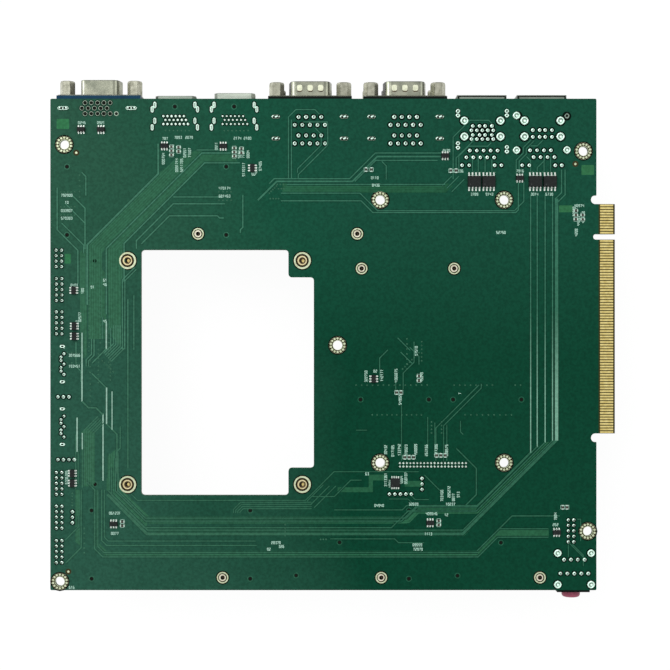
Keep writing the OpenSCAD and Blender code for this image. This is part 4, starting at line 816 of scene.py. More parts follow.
@dataclass
class Solids:
    """Closed solids on the board that together make one piece."""

    wardrobe: Wardrobe
    points: list[Place] = field(default_factory=list)
    faces: list[tuple[int, ...]] = field(default_factory=list)

    def loft(self, rings: list[tuple[list[Point], float]], hollow: bool = False) -> None:
        """Add a solid through outlines at rising heights.

        Args:
            rings: Outlines of one length each with its height out of the face, from the bottom up.
            hollow: Whether the last outline closes on the first, as in a washer.
        """
        start, size, total = len(self.points), len(rings[0][0]), len(rings)
        for outline, out in rings:
            self.points += [self.wardrobe.board.at(x, y, out) for x, y in outline]
        for level in range(total if hollow else total - 1):
            low, high = start + level * size, start + (level + 1) % total * size
            for i in range(size):
                j = (i + 1) % size
                self.faces.append((low + i, low + j, high + j, high + i))
        if not hollow:
            self.faces.append(tuple(range(start + size - 1, start - 1, -1)))
            self.faces.append(tuple(range(start + (total - 1) * size, start + total * size)))

    def plate(self, outline: list[Point], low: float, high: float) -> None:
        """Add a flat plate of an outline, between two heights out of the face."""
        area = sum(a[0] * b[1] - b[0] * a[1] for a, b in zip(outline, outline[1:] + outline[:1]))
        self.loft([(outline if area > 0 else outline[::-1], z) for z in (low, high)])

    def strip(self, line: list[Point], width: float, low: float, high: float) -> None:
        """Add a flat strip along a broken line.

        Args:
            line: The middle of the strip.
            width: Its width.
            low: Height of its underside.
            high: Height of its top.
        """
        right, left = parallel(line, -width / 2), parallel(line, width / 2)
        start, size = len(self.points), len(line)
        for side, out in ((right, low), (left, low), (right, high), (left, high)):
            self.points += [self.wardrobe.board.at(x, y, out) for x, y in side]
        r0, l0, r1, l1 = (start + k * size for k in range(4))
        for i in range(size - 1):
            j = i + 1
            self.faces += [
                (r1 + i, r1 + j, l1 + j, l1 + i),
                (r0 + i, l0 + i, l0 + j, r0 + j),
                (r0 + i, r0 + j, r1 + j, r1 + i),
                (l0 + i, l1 + i, l1 + j, l0 + j),
            ]
        last = size - 1
        self.faces += [(r0, r1, l1, l0), (r0 + last, l0 + last, l1 + last, r1 + last)]

    def mound(self, tail: Tail, reach: float, rise: float) -> None:
        """Add solder that climbs from its land to the end of a tail.

        Args:
            tail: The tail.
            reach: How far the land goes past it.
            rise: Height of the solder.
        """
        rings = []
        for share, climb in SLOPE:
            half = tail.grown(reach * (1 - share))
            rings.append((rounded(tail.x, tail.y, *half, min(half)), climb * rise))
        self.loft(rings)

    def dome(self, x: float, y: float, radius: float, rise: float) -> None:
        """Add a round cap.

        Args:
            x: Middle, in millimetres.
            y: Middle, in millimetres.
            radius: Its radius.
            rise: Its height.
        """
        self.loft([(rounded(x, y, *(radius * share,) * 3, 6), climb * rise) for share, climb in BULGE])

    def ring(self, x: float, y: float, outer: Point, inner: Point, height: float, base: float = 0.0) -> None:
        """Add a washer with a round back.

        Args:
            x: Middle, in millimetres.
            y: Middle, in millimetres.
            outer: Half width and half length outside.
            inner: Half width and half length inside.
            height: Height of its back.
            base: Height that it stands on.
        """
        rings = []
        for share, rise in BACK:
            half = [o + (i - o) * share for o, i in zip(outer, inner)]
            out = base + rise * height if rise else base - 2 * SKIN
            rings.append((rounded(x, y, half[0], half[1], min(half)), out))
        self.loft(rings, hollow=True)

    def washer(
        self, x: float, y: float, outer: float, inner: float, height: float, base: float = 0.0
    ) -> None:
        """Add a round washer between two radii."""
        self.ring(x, y, (outer, outer), (inner, inner), height, base)

    def disc(self, x: float, y: float, radius: float, low: float, high: float) -> None:
        """Add a flat disc between two heights out of the face."""
        self.plate(rounded(x, y, radius, radius, radius, 5), low, high)

    def thread(self, x: float, y: float, bore: float, crest: float, pitch: float, span: Point) -> None:
        """Cut a screw thread's crests into a bore.

        Args:
            x: Middle, in millimetres.
            y: Middle, in millimetres.
            bore: Radius at the roots.
            crest: Radius at the crests.
            pitch: Rise in one turn.
            span: Lowest and highest crest, out of the face.
        """
        start = len(self.points)
        steps = int((span[1] - span[0]) / pitch * TURN_SIDES)
        for k in range(steps + 1):
            angle = math.tau * k / TURN_SIDES
            out = span[0] + pitch * k / TURN_SIDES
            for radius, rise in ((bore, -CREST), (crest, 0), (bore, CREST)):
                place = (x + radius * math.cos(angle), y + radius * math.sin(angle))
                self.points.append(self.wardrobe.board.at(*place, out + rise * pitch))
        for k in range(steps):
            near, far = start + 3 * k, start + 3 * k + 3
            for i in range(3):
                j = (i + 1) % 3
                self.faces.append((near + i, near + j, far + j, far + i))
        end = start + 3 * steps
        self.faces += [(start + 2, start + 1, start), (end, end + 1, end + 2)]

    def piece(self, name: str, finish: Finish | MaskFinish, slot: str, smooth: bool = False) -> None:
        """Make the piece, dress it and let it ride on the board.

        Args:
            name: The piece's name.
            finish: Its finish.
            slot: The record's material slot for it; not used.
            smooth: Whether its faces shade as one round surface.
        """
        mesh = bpy.data.meshes.new(name)
        mesh.from_pydata(self.points, [], self.faces)
        mesh.validate()
        mesh.update()
        if smooth:
            mesh.shade_smooth()
        piece = bpy.data.objects.new(name, mesh)
        bpy.context.scene.collection.objects.link(piece)
        mesh.materials.append(self.wardrobe.get(finish))
        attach(piece, ROOT)
        log.info("%s: %d faces", name, len(self.faces))


# ---------------------------------------------------------------- the CAD nodes' own finishes


@dataclass
class Assembly:
    """A part of the looks, made on the board with the wardrobe's finishes."""

    board: Board
    wardrobe: Wardrobe

    def solids(self, count: int = 2) -> list[Solids]:
        """Start a few groups of solids."""
        return [Solids(self.wardrobe) for _ in range(count)]


# The analogue port's pins sit deep in their holes: painted dark as shade.
NODE_FINISHES = {
    "analogue_port_pins": PAINTED_SHADE, "fine_header_pins": BRIGHT_PIN, "flat_port_1_pins": BRIGHT_PIN,
    "flat_port_2_pins": BRIGHT_PIN, "chip_leads": BRIGHT_PIN, "mounting_lands": LAND,
    "flat_port_2_shell": PALE_STEEL,
}


@dataclass
class CadDress(Assembly):
    """Finishes for the CAD nodes, by their slots or by their own names."""

    def build(self) -> None:
        """Give every CAD node its finish."""
        laminate = LaminateFinish(MASK).make(self.board)
        for name, node in sorted(frame["nodes"].items()):
            for slot in node.material_slots:
                plain = slot.material.name.split(".")[0]
                finish = NODE_FINISHES.get(name, FINISHES.get(plain))
                if plain == "solder_mask":
                    slot.material = laminate
                elif finish is not None:
                    slot.material = self.wardrobe.get(finish)
                else:
                    log.warning("%s has no finish for %s", name, plain)
        log.info("CAD nodes dressed: %d", len(frame["nodes"]))


# ---------------------------------------------------------------- copper


@dataclass(frozen=True)
class Route:
    """A trace, or several side by side, that runs in straight legs.

    The legs are written as a heading and how far it goes in millimetres, such as "S 12 SW 5". Lanes lie
    to the right of the first one, or to its left where the pitch is negative.
    """

    x: float
    y: float
    legs: str
    width: float = 0.36
    lanes: int = 1
    pitch: float = 0.8
    pale: bool = False

    def line(self) -> list[Point]:
        """Give the corners of the first lane.

        Returns:
            Its bends and both its ends, in millimetres.
        """
        words = self.legs.split()
        line = [(self.x, self.y)]
        for name, far in zip(words[::2], words[1::2]):
            step = Heading[name].value
            line.append((line[-1][0] + step[0] * float(far), line[-1][1] + step[1] * float(far)))
        return line

    def lines(self) -> list[list[Point]]:
        """Give the corners of every lane."""
        first = self.line()
        return [parallel(first, -k * self.pitch) if k else first for k in range(self.lanes)]


@dataclass
class Copper(Assembly):
    """Traces and pours under the mask on the solder face."""

    trace_out: float = 0.038
    shoulder_out: float = 0.034
    shoulder: float = 0.55
    tight: float = 1.2
    layers: int = 12
    pour_out: float = 0.02
    band_out: float = 0.029
    corner: float = 0.3
    hole: Sizes = (0.28, 0.1, 0.05)  # outside, inside, height
    step: float = 0.0004
    shoulder_step: float = 0.0002

    bus: tuple[Route, ...] = (
        Route(39.5, 163.5, "S 11 SW 26 S 22", 0.6), Route(66.5, 160.1, "W 11 SW 35 S 24", 0.45),
        Route(69.5, 156.5, "W 13 SW 29.5 S 14", 0.45), Route(53.6, 161.2, "E 11.5"),
        Route(63, 144, "W 18"), Route(64, 141.5, "W 19 SW 13.5 S 3", 0.42),
        Route(63.5, 136.3, "W 1.5 NW 0.8 W 17.6 SW 10.3", 0.42),
        Route(70.5, 144.7, "S 11.8 SW 0.9 S 1.2", 0.42), Route(31.5, 117.5, "SW 4.2 S 25", 0.36, 2, 0.9),
        Route(11.5, 153, "SE 1.5 S 7", 0.42), Route(8, 144.6, "SE 4.7 S 15", 0.42),
        Route(5.3, 141.8, "SE 7.3"), Route(4.2, 134.4, "SE 8 S 3"),
        Route(2.5, 147.4, "S 15.4 SE 7.6 S 12.3", 0.42), Route(16, 92, "S 6 SW 2 S 2", 0.4, 2, 0.9),
    )
    serial: tuple[Route, ...] = (
        Route(87.2, 150.7, "N 22.6 NE 2.7 E 7 SE 1.7"), Route(88.3, 150.7, "N 21.6"),
        Route(101.6, 171, "S 8 SW 10.8 S 1.4"), Route(97, 169.2, "SE 2.2 S 4 SW 8.7 S 1.4"),
        Route(92.6, 171.5, "E 8.8 S 0.8"), Route(80.2, 148.9, "NE 1.8 E 27.6 NE 9.4 E 24.4", 0.42),
        Route(76, 142.8, "NE 6.9 E 27.7 NE 9.1 E 24", 0.6), Route(111.5, 149.7, "NE 7.7 E 22.6", 0.4),
        Route(121.4, 157, "SE 1.6 S 5"), Route(84.5, 145.4, "E 28.9 SE 6.4 E 50.2 NE 3.4 N 7.4"),
        Route(84.5, 142.6, "E 29.3 SE 4.3 E 52.3 NE 1 N 10", 0.42), Route(143.6, 148.2, "NE 3.4"),
        Route(145.2, 147.2, "NE 4.4"), Route(147, 145.9, "NE 4.6"), Route(144.6, 148.6, "W 58", 0.4),
    )
    network: tuple[Route, ...] = (
        Route(147.5, 150.5, "N 15.4 NE 6.2 E 6.8 SE 1.2"), Route(148.6, 153.3, "N 5 NE 6.4 N 1"),
        Route(149.6, 153.3, "N 5.7 NE 3.6 E 7 NE 1.2"), Route(171.7, 153.3, "N 3.8 NE 2.6 N 2 NE 2.9"),
        Route(170.6, 152.3, "N 5.2 NE 2.6 N 2 NE 2.9"), Route(175.9, 162.7, "E 2.4 NE 2"),
        Route(154.6, 153.3, "N 4.8 NW 1"), Route(156.7, 153.3, "N 6"), Route(159.2, 153.3, "N 5 NW 1.2"),
        Route(161.7, 153.3, "N 4.6"), Route(175.9, 153.3, "N 4 NW 1.5"),
        Route(178.3, 153.3, "N 1.4 NE 2.6 N 2"), Route(180.8, 153.3, "N 5"), Route(183.2, 153.3, "N 5.5"),
        Route(187.2, 154, "S 8.4 SW 2.4", 0.42), Route(188.5, 154, "S 9.2 SW 3", 0.42),
    )
    edge: tuple[Route, ...] = (
        Route(175.9, 145, "S 43", 0.42), Route(175.9, 102.2, "S 51.8", 0.42, pale=True),
        Route(175.9, 50.6, "SW 19.6 W 21.4 SW 4.6 W 95.5 NW 10 N 14", 0.42),
        Route(178.3, 145, "S 43", 0.42), Route(178.3, 102.2, "S 49.8", 0.42, pale=True),
        Route(178.3, 52.6, "SW 22.1 W 22.4 SW 5.2 W 93.7 NW 11 N 12", 0.42),
        Route(181.2, 145, "S 43", 0.42), Route(181.2, 102.2, "S 48.2", 0.42, pale=True),
        Route(181.2, 54.2, "SW 25.2 W 25 SW 6.1 W 90.5 NW 12 N 10", 0.42), Route(183.9, 145, "S 43", 0.42),
        Route(183.9, 102.2, "S 47.6", 0.42, pale=True),
        Route(183.9, 54.8, "SW 32.8 W 115.5 NW 14.5", 0.42), Route(185.4, 143.4, "S 41.4", 1.2),
        Route(185.4, 102.2, "S 47.4", 1.2, pale=True), Route(185.4, 55, "SW 34.4 W 115.6 NW 14.5", 1.0),
        Route(156.2, 14.3, "NE 12.9 E 17.5", 0.42), Route(164.4, 22.5, "E 18"),
        Route(156.4, 12.0, "NE 7.4 E 18.6", 0.42), Route(189.7, 16.8, "S 4.6"),
        Route(191.2, 16.8, "SE 4 S 4"), Route(190, 17.3, "SE 5.6"), Route(193, 26, "E 1.2 S 8"),
    )
    middle: tuple[Route, ...] = (
        Route(96, 34.3, "E 8 NE 6 E 4"), Route(95.7, 32.2, "W 26 SW 2.6 S 1.4", 0.34, 4, -0.78),
        Route(124, 33.4, "E 7 SE 2", 0.3), Route(112, 58.6, "E 4"), Route(138.2, 63.4, "S 12"),
        Route(140.8, 61.4, "S 11"), Route(150.2, 62, "S 4 SE 1"), Route(120.6, 77, "N 8 NE 3"),
        Route(131.6, 89, "SE 3.4 S 3"), Route(127.2, 92.4, "SE 4.6"),
        Route(157.8, 75.6, "S 1.6 SW 13.8 S 12.8"), Route(157, 75.2, "SW 15.8 S 12"),
        Route(145.2, 60.6, "S 13.2"), Route(148.7, 51.9, "SE 7.3 S 9.6 SW 3.8", 0.42),
        Route(128.6, 67.7, "S 20.2"), Route(126.5, 77.5, "S 5.3"), Route(128.3, 87.2, "SE 4.1"),
        Route(133.2, 91, "S 7.5 SW 4 S 6"), Route(137, 42.2, "SE 5.6"), Route(131, 35.8, "SE 2.6 E 5"),
        Route(29.7, 35.1, "SE 2.2 E 61.5 NE 10.5 E 31"), Route(94, 32.6, "NE 6"),
        Route(95.2, 31.2, "NE 7"), Route(96.6, 30.2, "NE 8"), Route(104, 29.4, "E 24.9 NE 1.6 E 4"),
        Route(102.5, 18.8, "E 23.6 SE 1.4 E 9.4"),
    )
    lower: tuple[Route, ...] = (
        Route(13.2, 39.8, "SE 3 S 21.6 SE 3 E 137.6", 0.42), Route(17.4, 36.8, "S 20.8 SE 2.2 E 137", 0.4),
        Route(18.8, 36.8, "S 18.6 SE 1.8 E 55", 0.4), Route(19.8, 36.8, "S 17.4 SE 1.4 E 54"),
        Route(11.3, 36.8, "S 21.2 SW 5.6", 0.42), Route(10.2, 27.3, "S 4.2 SW 4.8"),
        Route(9.3, 57, "S 20"), Route(35.5, 12.2, "E 121"),
    )
    headers: tuple[Route, ...] = (
        Route(28.4, 106.6, "S 61.8", 0.42), Route(20.5, 98, "S 9.8", 0.5, pale=True),
        Route(20.5, 88.4, "SW 5.2", 0.42), Route(27.2, 97, "S 8.3 SW 4.9", 0.35, 6, 0.8),
        Route(11.6, 94.3, "S 25.2", 0.48, pale=True), Route(11.6, 69.2, "SE 2.4 E 2.7 SE 2.6", 0.5),
        Route(19.3, 64.6, "S 24.5", 0.48, pale=True), Route(15.2, 79.4, "SE 5.4", 0.42),
        Route(20.6, 74.2, "S 13.4", 0.5, pale=True), Route(20.6, 60.9, "SE 3.8 S 14.4", 0.5),
        Route(22.6, 72.8, "S 14", 0.36, pale=True), Route(9.8, 63.2, "S 12.5", 0.5, pale=True),
        Route(11.7, 57.6, "S 6", 0.4, pale=True), Route(11.7, 51.6, "S 14", 0.42), Route(10.2, 51, "S 12"),
        Route(17.4, 63.6, "SW 5 S 20", 0.34, 5, -0.8), Route(22.1, 96, "S 8"),
        Route(19.2, 100, "S 8", 0.3), Route(9.4, 91, "S 9 SE 1.8 S 4"), Route(25.6, 60, "S 8 SW 1.4 S 6"),
        Route(30.6, 108, "S 20", 0.3), Route(24.5, 40, "S 4"),
    )

    pours: tuple[tuple[Point, ...], ...] = (
        (
            (13.9, 92), (18.6, 92), (18.6, 123.4), (55.6, 160.4), (55.6, 161.2), (53.6, 161.2),
            (47.5, 158.5), (39.5, 152.6), (13.9, 127),
        ),
        (
            (20.9, 125.5), (55.6, 160), (66.5, 160), (69, 156.6), (56.5, 156.6), (27.2, 127.2), (27.2, 88),
            (21.4, 94),
        ),
        ((10.8, 123.7), (13.4, 126.3), (13.4, 86), (11, 84)),
        ((18.5, 92), (20.5, 92), (20.5, 116), (18.5, 118)),
        ((85, 145.6), (144.8, 145.6), (147.4, 148.2), (145.6, 149), (85, 149)),
        ((176, 50.6), (156.6, 31.1), (161.2, 31.1), (185.2, 55), (181.2, 54), (178.3, 52.5)),
        ((159.6, 31.1), (149.6, 20.9), (151.4, 20.9), (161.2, 31.1)),
        ((11.2, 57.6), (13.2, 59.6), (16.2, 57.6), (16.2, 39), (11.2, 39)),
        ((134.5, 28), (158, 28), (160.6, 31.1), (134.5, 31.1)),
        ((134.5, 28), (134.5, 31.1), (130.2, 27), (126.6, 24.4), (130.6, 24.4)),
        ((36, 24.4), (129.5, 24.4), (130, 27), (35.6, 27)),
        ((35.6, 19.8), (151.5, 19.8), (153.6, 22), (35.6, 22)),
        ((20.6, 36.6), (34.8, 20.8), (36, 27.2), (27, 36), (27, 41), (20.6, 41)),
        ((20, 12.2), (157, 12.2), (159, 14.4), (20, 14.4)),
        ((16.2, 36.8), (17.6, 36.8), (17.6, 15), (16.2, 16.4)),
        ((17.6, 15), (19.9, 12.6), (20.6, 14.4), (17.6, 17.4)),
        ((9.2, 36.8), (11.3, 36.8), (11.3, 15.8), (9.2, 17.8)),
        ((12, 57), (14, 59.2), (14.2, 41), (16.2, 38), (12, 38)),
        ((21, 49), (24.5, 52), (24.5, 37), (21, 37)),
        ((105.2, 35.9), (118.1, 35.9), (118.1, 37.7), (105.2, 37.7)),
        ((116.6, 37.7), (118.1, 37.7), (118.1, 40.2), (122.6, 40.2), (122.6, 42.3), (116.6, 42.3)),
        ((129.8, 37.9), (136.1, 37.9), (136.1, 40), (129.8, 40)),
        ((156.4, 12.2), (163.9, 19.6), (182.5, 19.6), (182.5, 22.4), (164.4, 22.4), (156.2, 14.2)),
    )
    bands: tuple[Route, ...] = (
        Route(46.6, 158.6, "SW 32 S 34.6", 0.34, 6, -0.84),
        Route(54.8, 158.9, "SW 33.2 S 32", 0.34, 4, -0.84), Route(25.3, 124.6, "S 30", 0.34, 3, -0.84),
        Route(11.2, 122, "S 36", 0.34, 3, -0.8), Route(85.6, 146.2, "E 58.6", 0.34, 4, -0.78),
        Route(185.4, 54.4, "SW 33.4 W 116", 0.34, 2, 0.8),
        Route(157.2, 28.6, "W 22 SW 3.8 W 94", 0.34, 3, 0.8), Route(157.8, 13.8, "W 137.5", 0.34, 2, -0.8),
        Route(21.6, 50, "S 13 SE 11", 0.34, 4, -0.85), Route(9.8, 36, "S 18", 0.34, 2, -0.8),
    )
    squares: tuple[tuple[Point, Point], ...] = (
        ((2.3, 168.9), (6.9, 172.6)), ((194.5, 152.1), (199.1, 155.7)), ((186.1, 138.4), (191.3, 140.9)),
        ((5.3, 119.6), (7.5, 123.2)),
    )
    rows: tuple[tuple[float, float, str, float], ...] = (
        (112, 75.1, "E 26", 1.9), (147.9, 75.1, "E 14", 1.9), (117.9, 64.2, "E 18", 1.7),
        (151.9, 64.2, "E 17", 2.1), (170.2, 75.1, "E 2", 1.9), (8, 31, "N 4.5", 1.1),
        (10.7, 152, "S 8", 1.9), (129, 81, "NE 6", 1.2), (130.6, 81, "N 11", 1.6), (136, 84, "N 7", 1.4),
        (12.4, 22.6, "S 9", 1.7), (3.9, 145.8, "E 5", 1.25), (3.9, 140.4, "E 5", 1.25),
        (3.9, 137.4, "E 5", 1.25), (61.7, 145.9, "E 4.5", 1.3), (61.7, 142.8, "E 4.5", 1.3),
        (6.2, 87, "E 5", 1.25), (6.2, 83.2, "E 5", 1.25), (21.5, 99, "S 10", 1.6), (17.6, 88, "S 12", 1.5),
        (21.4, 88, "S 6", 1.5), (19, 84, "SE 4", 1.1), (80.6, 143.4, "E 3", 1.0),
        (80.2, 145.4, "NE 2.6", 0.9), (82, 148.6, "E 3.4", 1.1), (83.6, 147, "E 2", 1.0),
        (14.2, 107.6, "S 20", 1.5), (18.3, 107.6, "S 17", 1.5), (14.6, 84, "S 15", 1.9),
        (22, 84, "S 7", 1.4), (42.2, 168.3, "E 8.7", 1.45), (63.7, 168.3, "E 8.7", 1.45),
        (101, 18.6, "W 2", 1.0), (86, 20, "N 4", 1.3), (139.6, 57.6, "N 4", 1.2),
        (143.3, 57.6, "N 4", 1.2), (176.4, 153, "E 8", 1.3), (155, 153, "E 8", 1.3),
    )

    def traces(self) -> None:
        """Lay every trace, all but close lanes between dark shoulders, each a hair higher than the last
        where they cross.
        """
        plain, pale, shoulders = self.solids(3)
        routes = (
            *self.bus, *self.serial, *self.network, *self.edge, *self.middle, *self.lower, *self.headers
        )
        for number, route in enumerate(routes):
            layer = number % self.layers
            for line in route.lines():
                top = self.trace_out + self.step * layer
                (pale if route.pale else plain).strip(line, route.width, -SKIN, top)
                if route.lanes <= 2 or abs(route.pitch) >= self.tight:
                    top = self.shoulder_out + self.shoulder_step * layer
                    shoulders.strip(line, route.width + self.shoulder, -SKIN, top)
        plain.piece("traces", TRACE_MASK, "solder_mask")
        pale.piece("pale_traces", PALE_MASK, "solder_mask")
        shoulders.piece("trace_shoulders", SHOULDER_MASK, "solder_mask")

    def planes(self) -> None:
        """Lay the pours and the square trial fields."""
        solids, squares = self.solids()
        for number, outline in enumerate(self.pours):
            solids.plate(list(outline), -SKIN, self.pour_out + self.step * number)
        for (x0, y0), (x1, y1) in self.squares:
            outline = rounded((x0 + x1) / 2, (y0 + y1) / 2, (x1 - x0) / 2, (y1 - y0) / 2, self.corner)
            squares.plate(outline, -SKIN, self.pour_out)
        solids.piece("copper_pours", POUR_MASK, "solder_mask")
        squares.piece("copper_squares", SQUARE_MASK, "solder_mask")

    def stripes(self) -> None:
        """Lay the close parallel lanes that make up the wide bands."""
        (solids,) = self.solids(1)
        for number, route in enumerate(self.bands):
            for line in route.lines():
                solids.strip(line, route.width, -SKIN, self.band_out + self.step * number)
        solids.piece("band_lanes", BAND_MASK, "solder_mask")

    def stitches(self) -> None:
        """Set the small holes that stand in rows."""
        (solids,) = self.solids(1)
        for x, y, leg, pitch in self.rows:
            (x0, y0), (x1, y1) = Route(x, y, leg).line()
            count = int(math.hypot(x1 - x0, y1 - y0) / pitch) + 1
            for k in range(count):
                share = k / max(1, count - 1)
                solids.washer(x0 + (x1 - x0) * share, y0 + (y1 - y0) * share, *self.hole)
        solids.piece("stitch_rows", VIA, "solder_mask", True)

    def build(self) -> None:
        """Lay the pours, the lanes, the traces over them and the rows of holes."""
        self.planes()
        self.stripes()
        self.traces()
        self.stitches()


# ---------------------------------------------------------------- solder


class Joint(Enum):
    """The ways that an end shows on the solder face."""

    # The dark holes and slots are painted shade; a crescent's slivers are painted highlights.
    MOUND = "solder climbs up the pin"
    EYELET = "a plated ring round a dark hole"
    DOME = "a round cap of solder over a tab"
    CRESCENT = "a dark slot with slivers of solder"
    LINKED = "two round fillets in one slot"


@dataclass(frozen=True)
class JointStyle:
    """How one family of ends is soldered."""

    joint: Joint
    reach: float
    rise: float
    finish: Finish = SOLDER
    # Width of the ring of painted shade round each joint.
    seam: float = 0.3


@dataclass
class Solder(Assembly):
    """Every soldered end, found from the CAD nodes themselves."""

    jitter: float = 0.07
    seed: int = 7
    least_rise: float = 0.12
    seam_out: float = 0.012
    wide: float = 0.8
    eyelet: Point = (0.23, 0.21)  # the ring's wall, and how much smaller the hole is
    crescent: Point = (0.18, 0.15)  # wall and hole in the same way
    crescent_out: float = 0.05
    # Bright strips of solder that paint the highlights in a lock's dark slot.
    slivers: tuple[tuple[tuple[Point, ...], float], ...] = (
        (((-1.05, -0.3), (-1.35, -0.05), (-1.05, 0.3), (-0.55, 0.34)), 0.3),
        (((-0.3, -0.2), (0.15, -0.05), (0.8, 0.28)), 0.62),
        (((1.05, -0.28), (1.4, -0.05), (1.3, 0.2)), 0.2),
    )
    sliver_out: Point = (-0.02, 0.1)  # over the tail's end
    linked: Point = (0.15, 0.1)  # how much smaller the hole is
    links: tuple[Sizes, ...] = ((0.78, 0.78, 0.28), (-0.78, 0.8, 0.22))  # along, outside, inside
    link_out: Point = (0.12, 0.16)  # a ring, a dome
    dome: float = 1.36
    dome_shift: float = -0.55
    collar: float = 0.54
    collar_out: float = 0.2
    crown_size: float = 0.84
    # The crown's shift, which leaves a crescent of painted shade on one side.
    crown_shift: float = 0.12
    crown_out: float = 0.24
    crown_bed: Point = (0.05, 0.06)  # wider than the collar's bore, over the tail's end
    lone_dome: Sizes = (0.95, 0.42, 0.46)  # outside, inside, hole
    slot: Point = (2.0, 0.68)
    slot_wall: float = 0.3
    slot_shift: float = -0.1
    slot_out: float = 0.03
    blobs: tuple[Sizes, ...] = ((-1.2, 0.08, 0.5), (0.0, -0.06, 0.48), (1.15, 0.04, 0.54))
    blob_core: float = 0.4
    blob_out: float = 0.14
    row_slack: float = 0.1
    spare_pitch: float = 2.3
    spare_ring: Sizes = (0.84, 0.58, 0.06)  # outside, inside, height
    spare_hole: Point = (0.62, 0.03)  # radius, height

    styles: tuple[tuple[str, JointStyle], ...] = (
        ("analogue_port_pins", JointStyle(Joint.EYELET, 0.56, 0.06, DULL_SOLDER, 0.24)),
        ("audio_jack_pins", JointStyle(Joint.MOUND, 0.38, 0.35, seam=0.4)),
        ("fine_header_pins", JointStyle(Joint.MOUND, 0.24, 0.4, seam=0.12)),
        ("flat_port_1_pins", JointStyle(Joint.MOUND, 0.32, 0.32, seam=0.32)),
        ("flat_port_2_pins", JointStyle(Joint.MOUND, 0.24, 0.32, seam=0.32)),
        ("flat_port_1_shell", JointStyle(Joint.MOUND, 0.5, 0.42)),
        ("flat_port_2_shell", JointStyle(Joint.MOUND, 0.5, 0.42)),
        ("header_pins", JointStyle(Joint.MOUND, 0.3, 0.18, seam=0.36)),
        ("network_stack_1_cage", JointStyle(Joint.LINKED, 0.45, 0.4, PEG_SOLDER_AND_SHADE)),
        ("network_stack_2_cage", JointStyle(Joint.DOME, 0.4, 0.6, PEG_SOLDER_AND_SHADE)),
        ("network_stack_1_pins", JointStyle(Joint.MOUND, 0.4, 0.2, seam=0.5)),
        ("network_stack_2_pins", JointStyle(Joint.MOUND, 0.4, 0.2, seam=0.5)),
        ("serial_stack_1_contacts", JointStyle(Joint.MOUND, 0.4, 0.2, seam=0.5)),
        ("serial_stack_2_contacts", JointStyle(Joint.MOUND, 0.4, 0.2, seam=0.5)),
        ("serial_stack_1_locks", JointStyle(Joint.CRESCENT, 0.22, 0.2, seam=0.08)),
        ("serial_stack_2_locks", JointStyle(Joint.CRESCENT, 0.22, 0.2, seam=0.08)),
        ("storage_port_contacts", JointStyle(Joint.MOUND, 0.34, 0.3, seam=0.4)),
        ("wafer_pins", JointStyle(Joint.MOUND, 0.38, 0.35, seam=0.4)),
    )

    def joint(self, tail: Tail, style: JointStyle, chance: random.Random) -> Point:
        """Solder one end.

        Args:
            tail: The end.
            style: How it is soldered.
            chance: Small differences from joint to joint.

        Returns:
            Half the width and half the length that it takes up.
        """
        reach = style.reach * (1 + chance.uniform(-self.jitter, self.jitter))
        rise = style.rise * (1 + chance.uniform(-self.jitter, self.jitter))
        pile, bright = self.piles[style.finish.name], self.piles[SOLDER.name]
        x, y, half = tail.x, tail.y, tail.grown(reach)
        if style.joint is Joint.EYELET:
            wall, gap = self.eyelet
            pile.ring(x, y, half, tail.grown(reach - wall), style.rise)
            self.holes.disc(x, y, half[0] - gap, -SKIN, tail.out + SKIN)
        elif style.joint is Joint.DOME:
            self.cap(tail, pile)
            return self.dome, self.dome
        elif style.joint is Joint.CRESCENT:
            wall, gap = self.crescent
            outline = rounded(x, y, *tail.grown(reach - gap), min(half))
            self.holes.plate(outline, -SKIN, tail.out + SKIN)
            ring = self.piles[DULL_SOLDER.name]
            ring.ring(x, y, half, tail.grown(reach - wall), self.crescent_out)
            # Slivers of painted highlight over the dark slot.
            for path, width in self.slivers:
                low, high = (tail.out + more for more in self.sliver_out)
                pile.strip([(x + u, y + v) for u, v in path], width, low, high)
        elif style.joint is Joint.LINKED:
            outline = rounded(x, y, half[0] - self.linked[0], half[1] - self.linked[1], half[0])
            self.holes.plate(outline, -SKIN, tail.out + SKIN)
            for along, outer, inner in self.links:
                if inner:
                    bright.washer(x, y + along, outer, inner, tail.out + self.link_out[0])
                else:
                    bright.dome(x, y + along, outer, tail.out + self.link_out[1])
        elif min(tail.half_x, tail.half_y) > self.wide:
            self.crown(x, y, half[0], tail.out)
        else:
            pile.mound(tail, reach, max(self.least_rise, min(rise, tail.out - 2 * SKIN)))
        return half

    def crown(self, x: float, y: float, radius: float, out: float) -> None:
        """Cap a wide peg with a bright collar round a bright crown; between them a darker disc, which the
        shifted crown leaves as a crescent of painted shade.

        Args:
            x: Middle, in millimetres.
            y: Middle, in millimetres.
            radius: Radius of the collar.
            out: How far the peg stands out.
        """
        inner, shift = radius * self.collar, radius * self.crown_shift
        self.piles[SOLDER.name].washer(x, y, radius, inner, out + self.collar_out)
        self.piles[PEG_SOLDER_AND_SHADE.name].disc(x, y, inner + self.crown_bed[0], -SKIN, out + self.crown_bed[1])
        self.piles[SOLDER.name].dome(x + shift, y - shift, inner * self.crown_size, out + self.crown_out)

    def cap(self, tail: Tail, pile: Solids) -> None:
        """Cap a wide tab with a crown, or with a ring where it stands alone in its corner.

        Args:
            tail: The tab's end.
            pile: The solder that the ring is made of.
        """
        low, high = self.board.box("network_stack_2_cage")
        right, far = tail.x > (low[0] + high[0]) / 2, tail.y > (low[1] + high[1]) / 2
        if right and far:
            outer, inner, hole = self.lone_dome
            pile.washer(tail.x, tail.y, outer, inner, tail.out + self.collar_out)
            self.holes.disc(tail.x, tail.y, hole, -SKIN, tail.out + 2 * SKIN)
        else:
            self.crown(tail.x + (0.0 if right else self.dome_shift), tail.y, self.dome, tail.out)

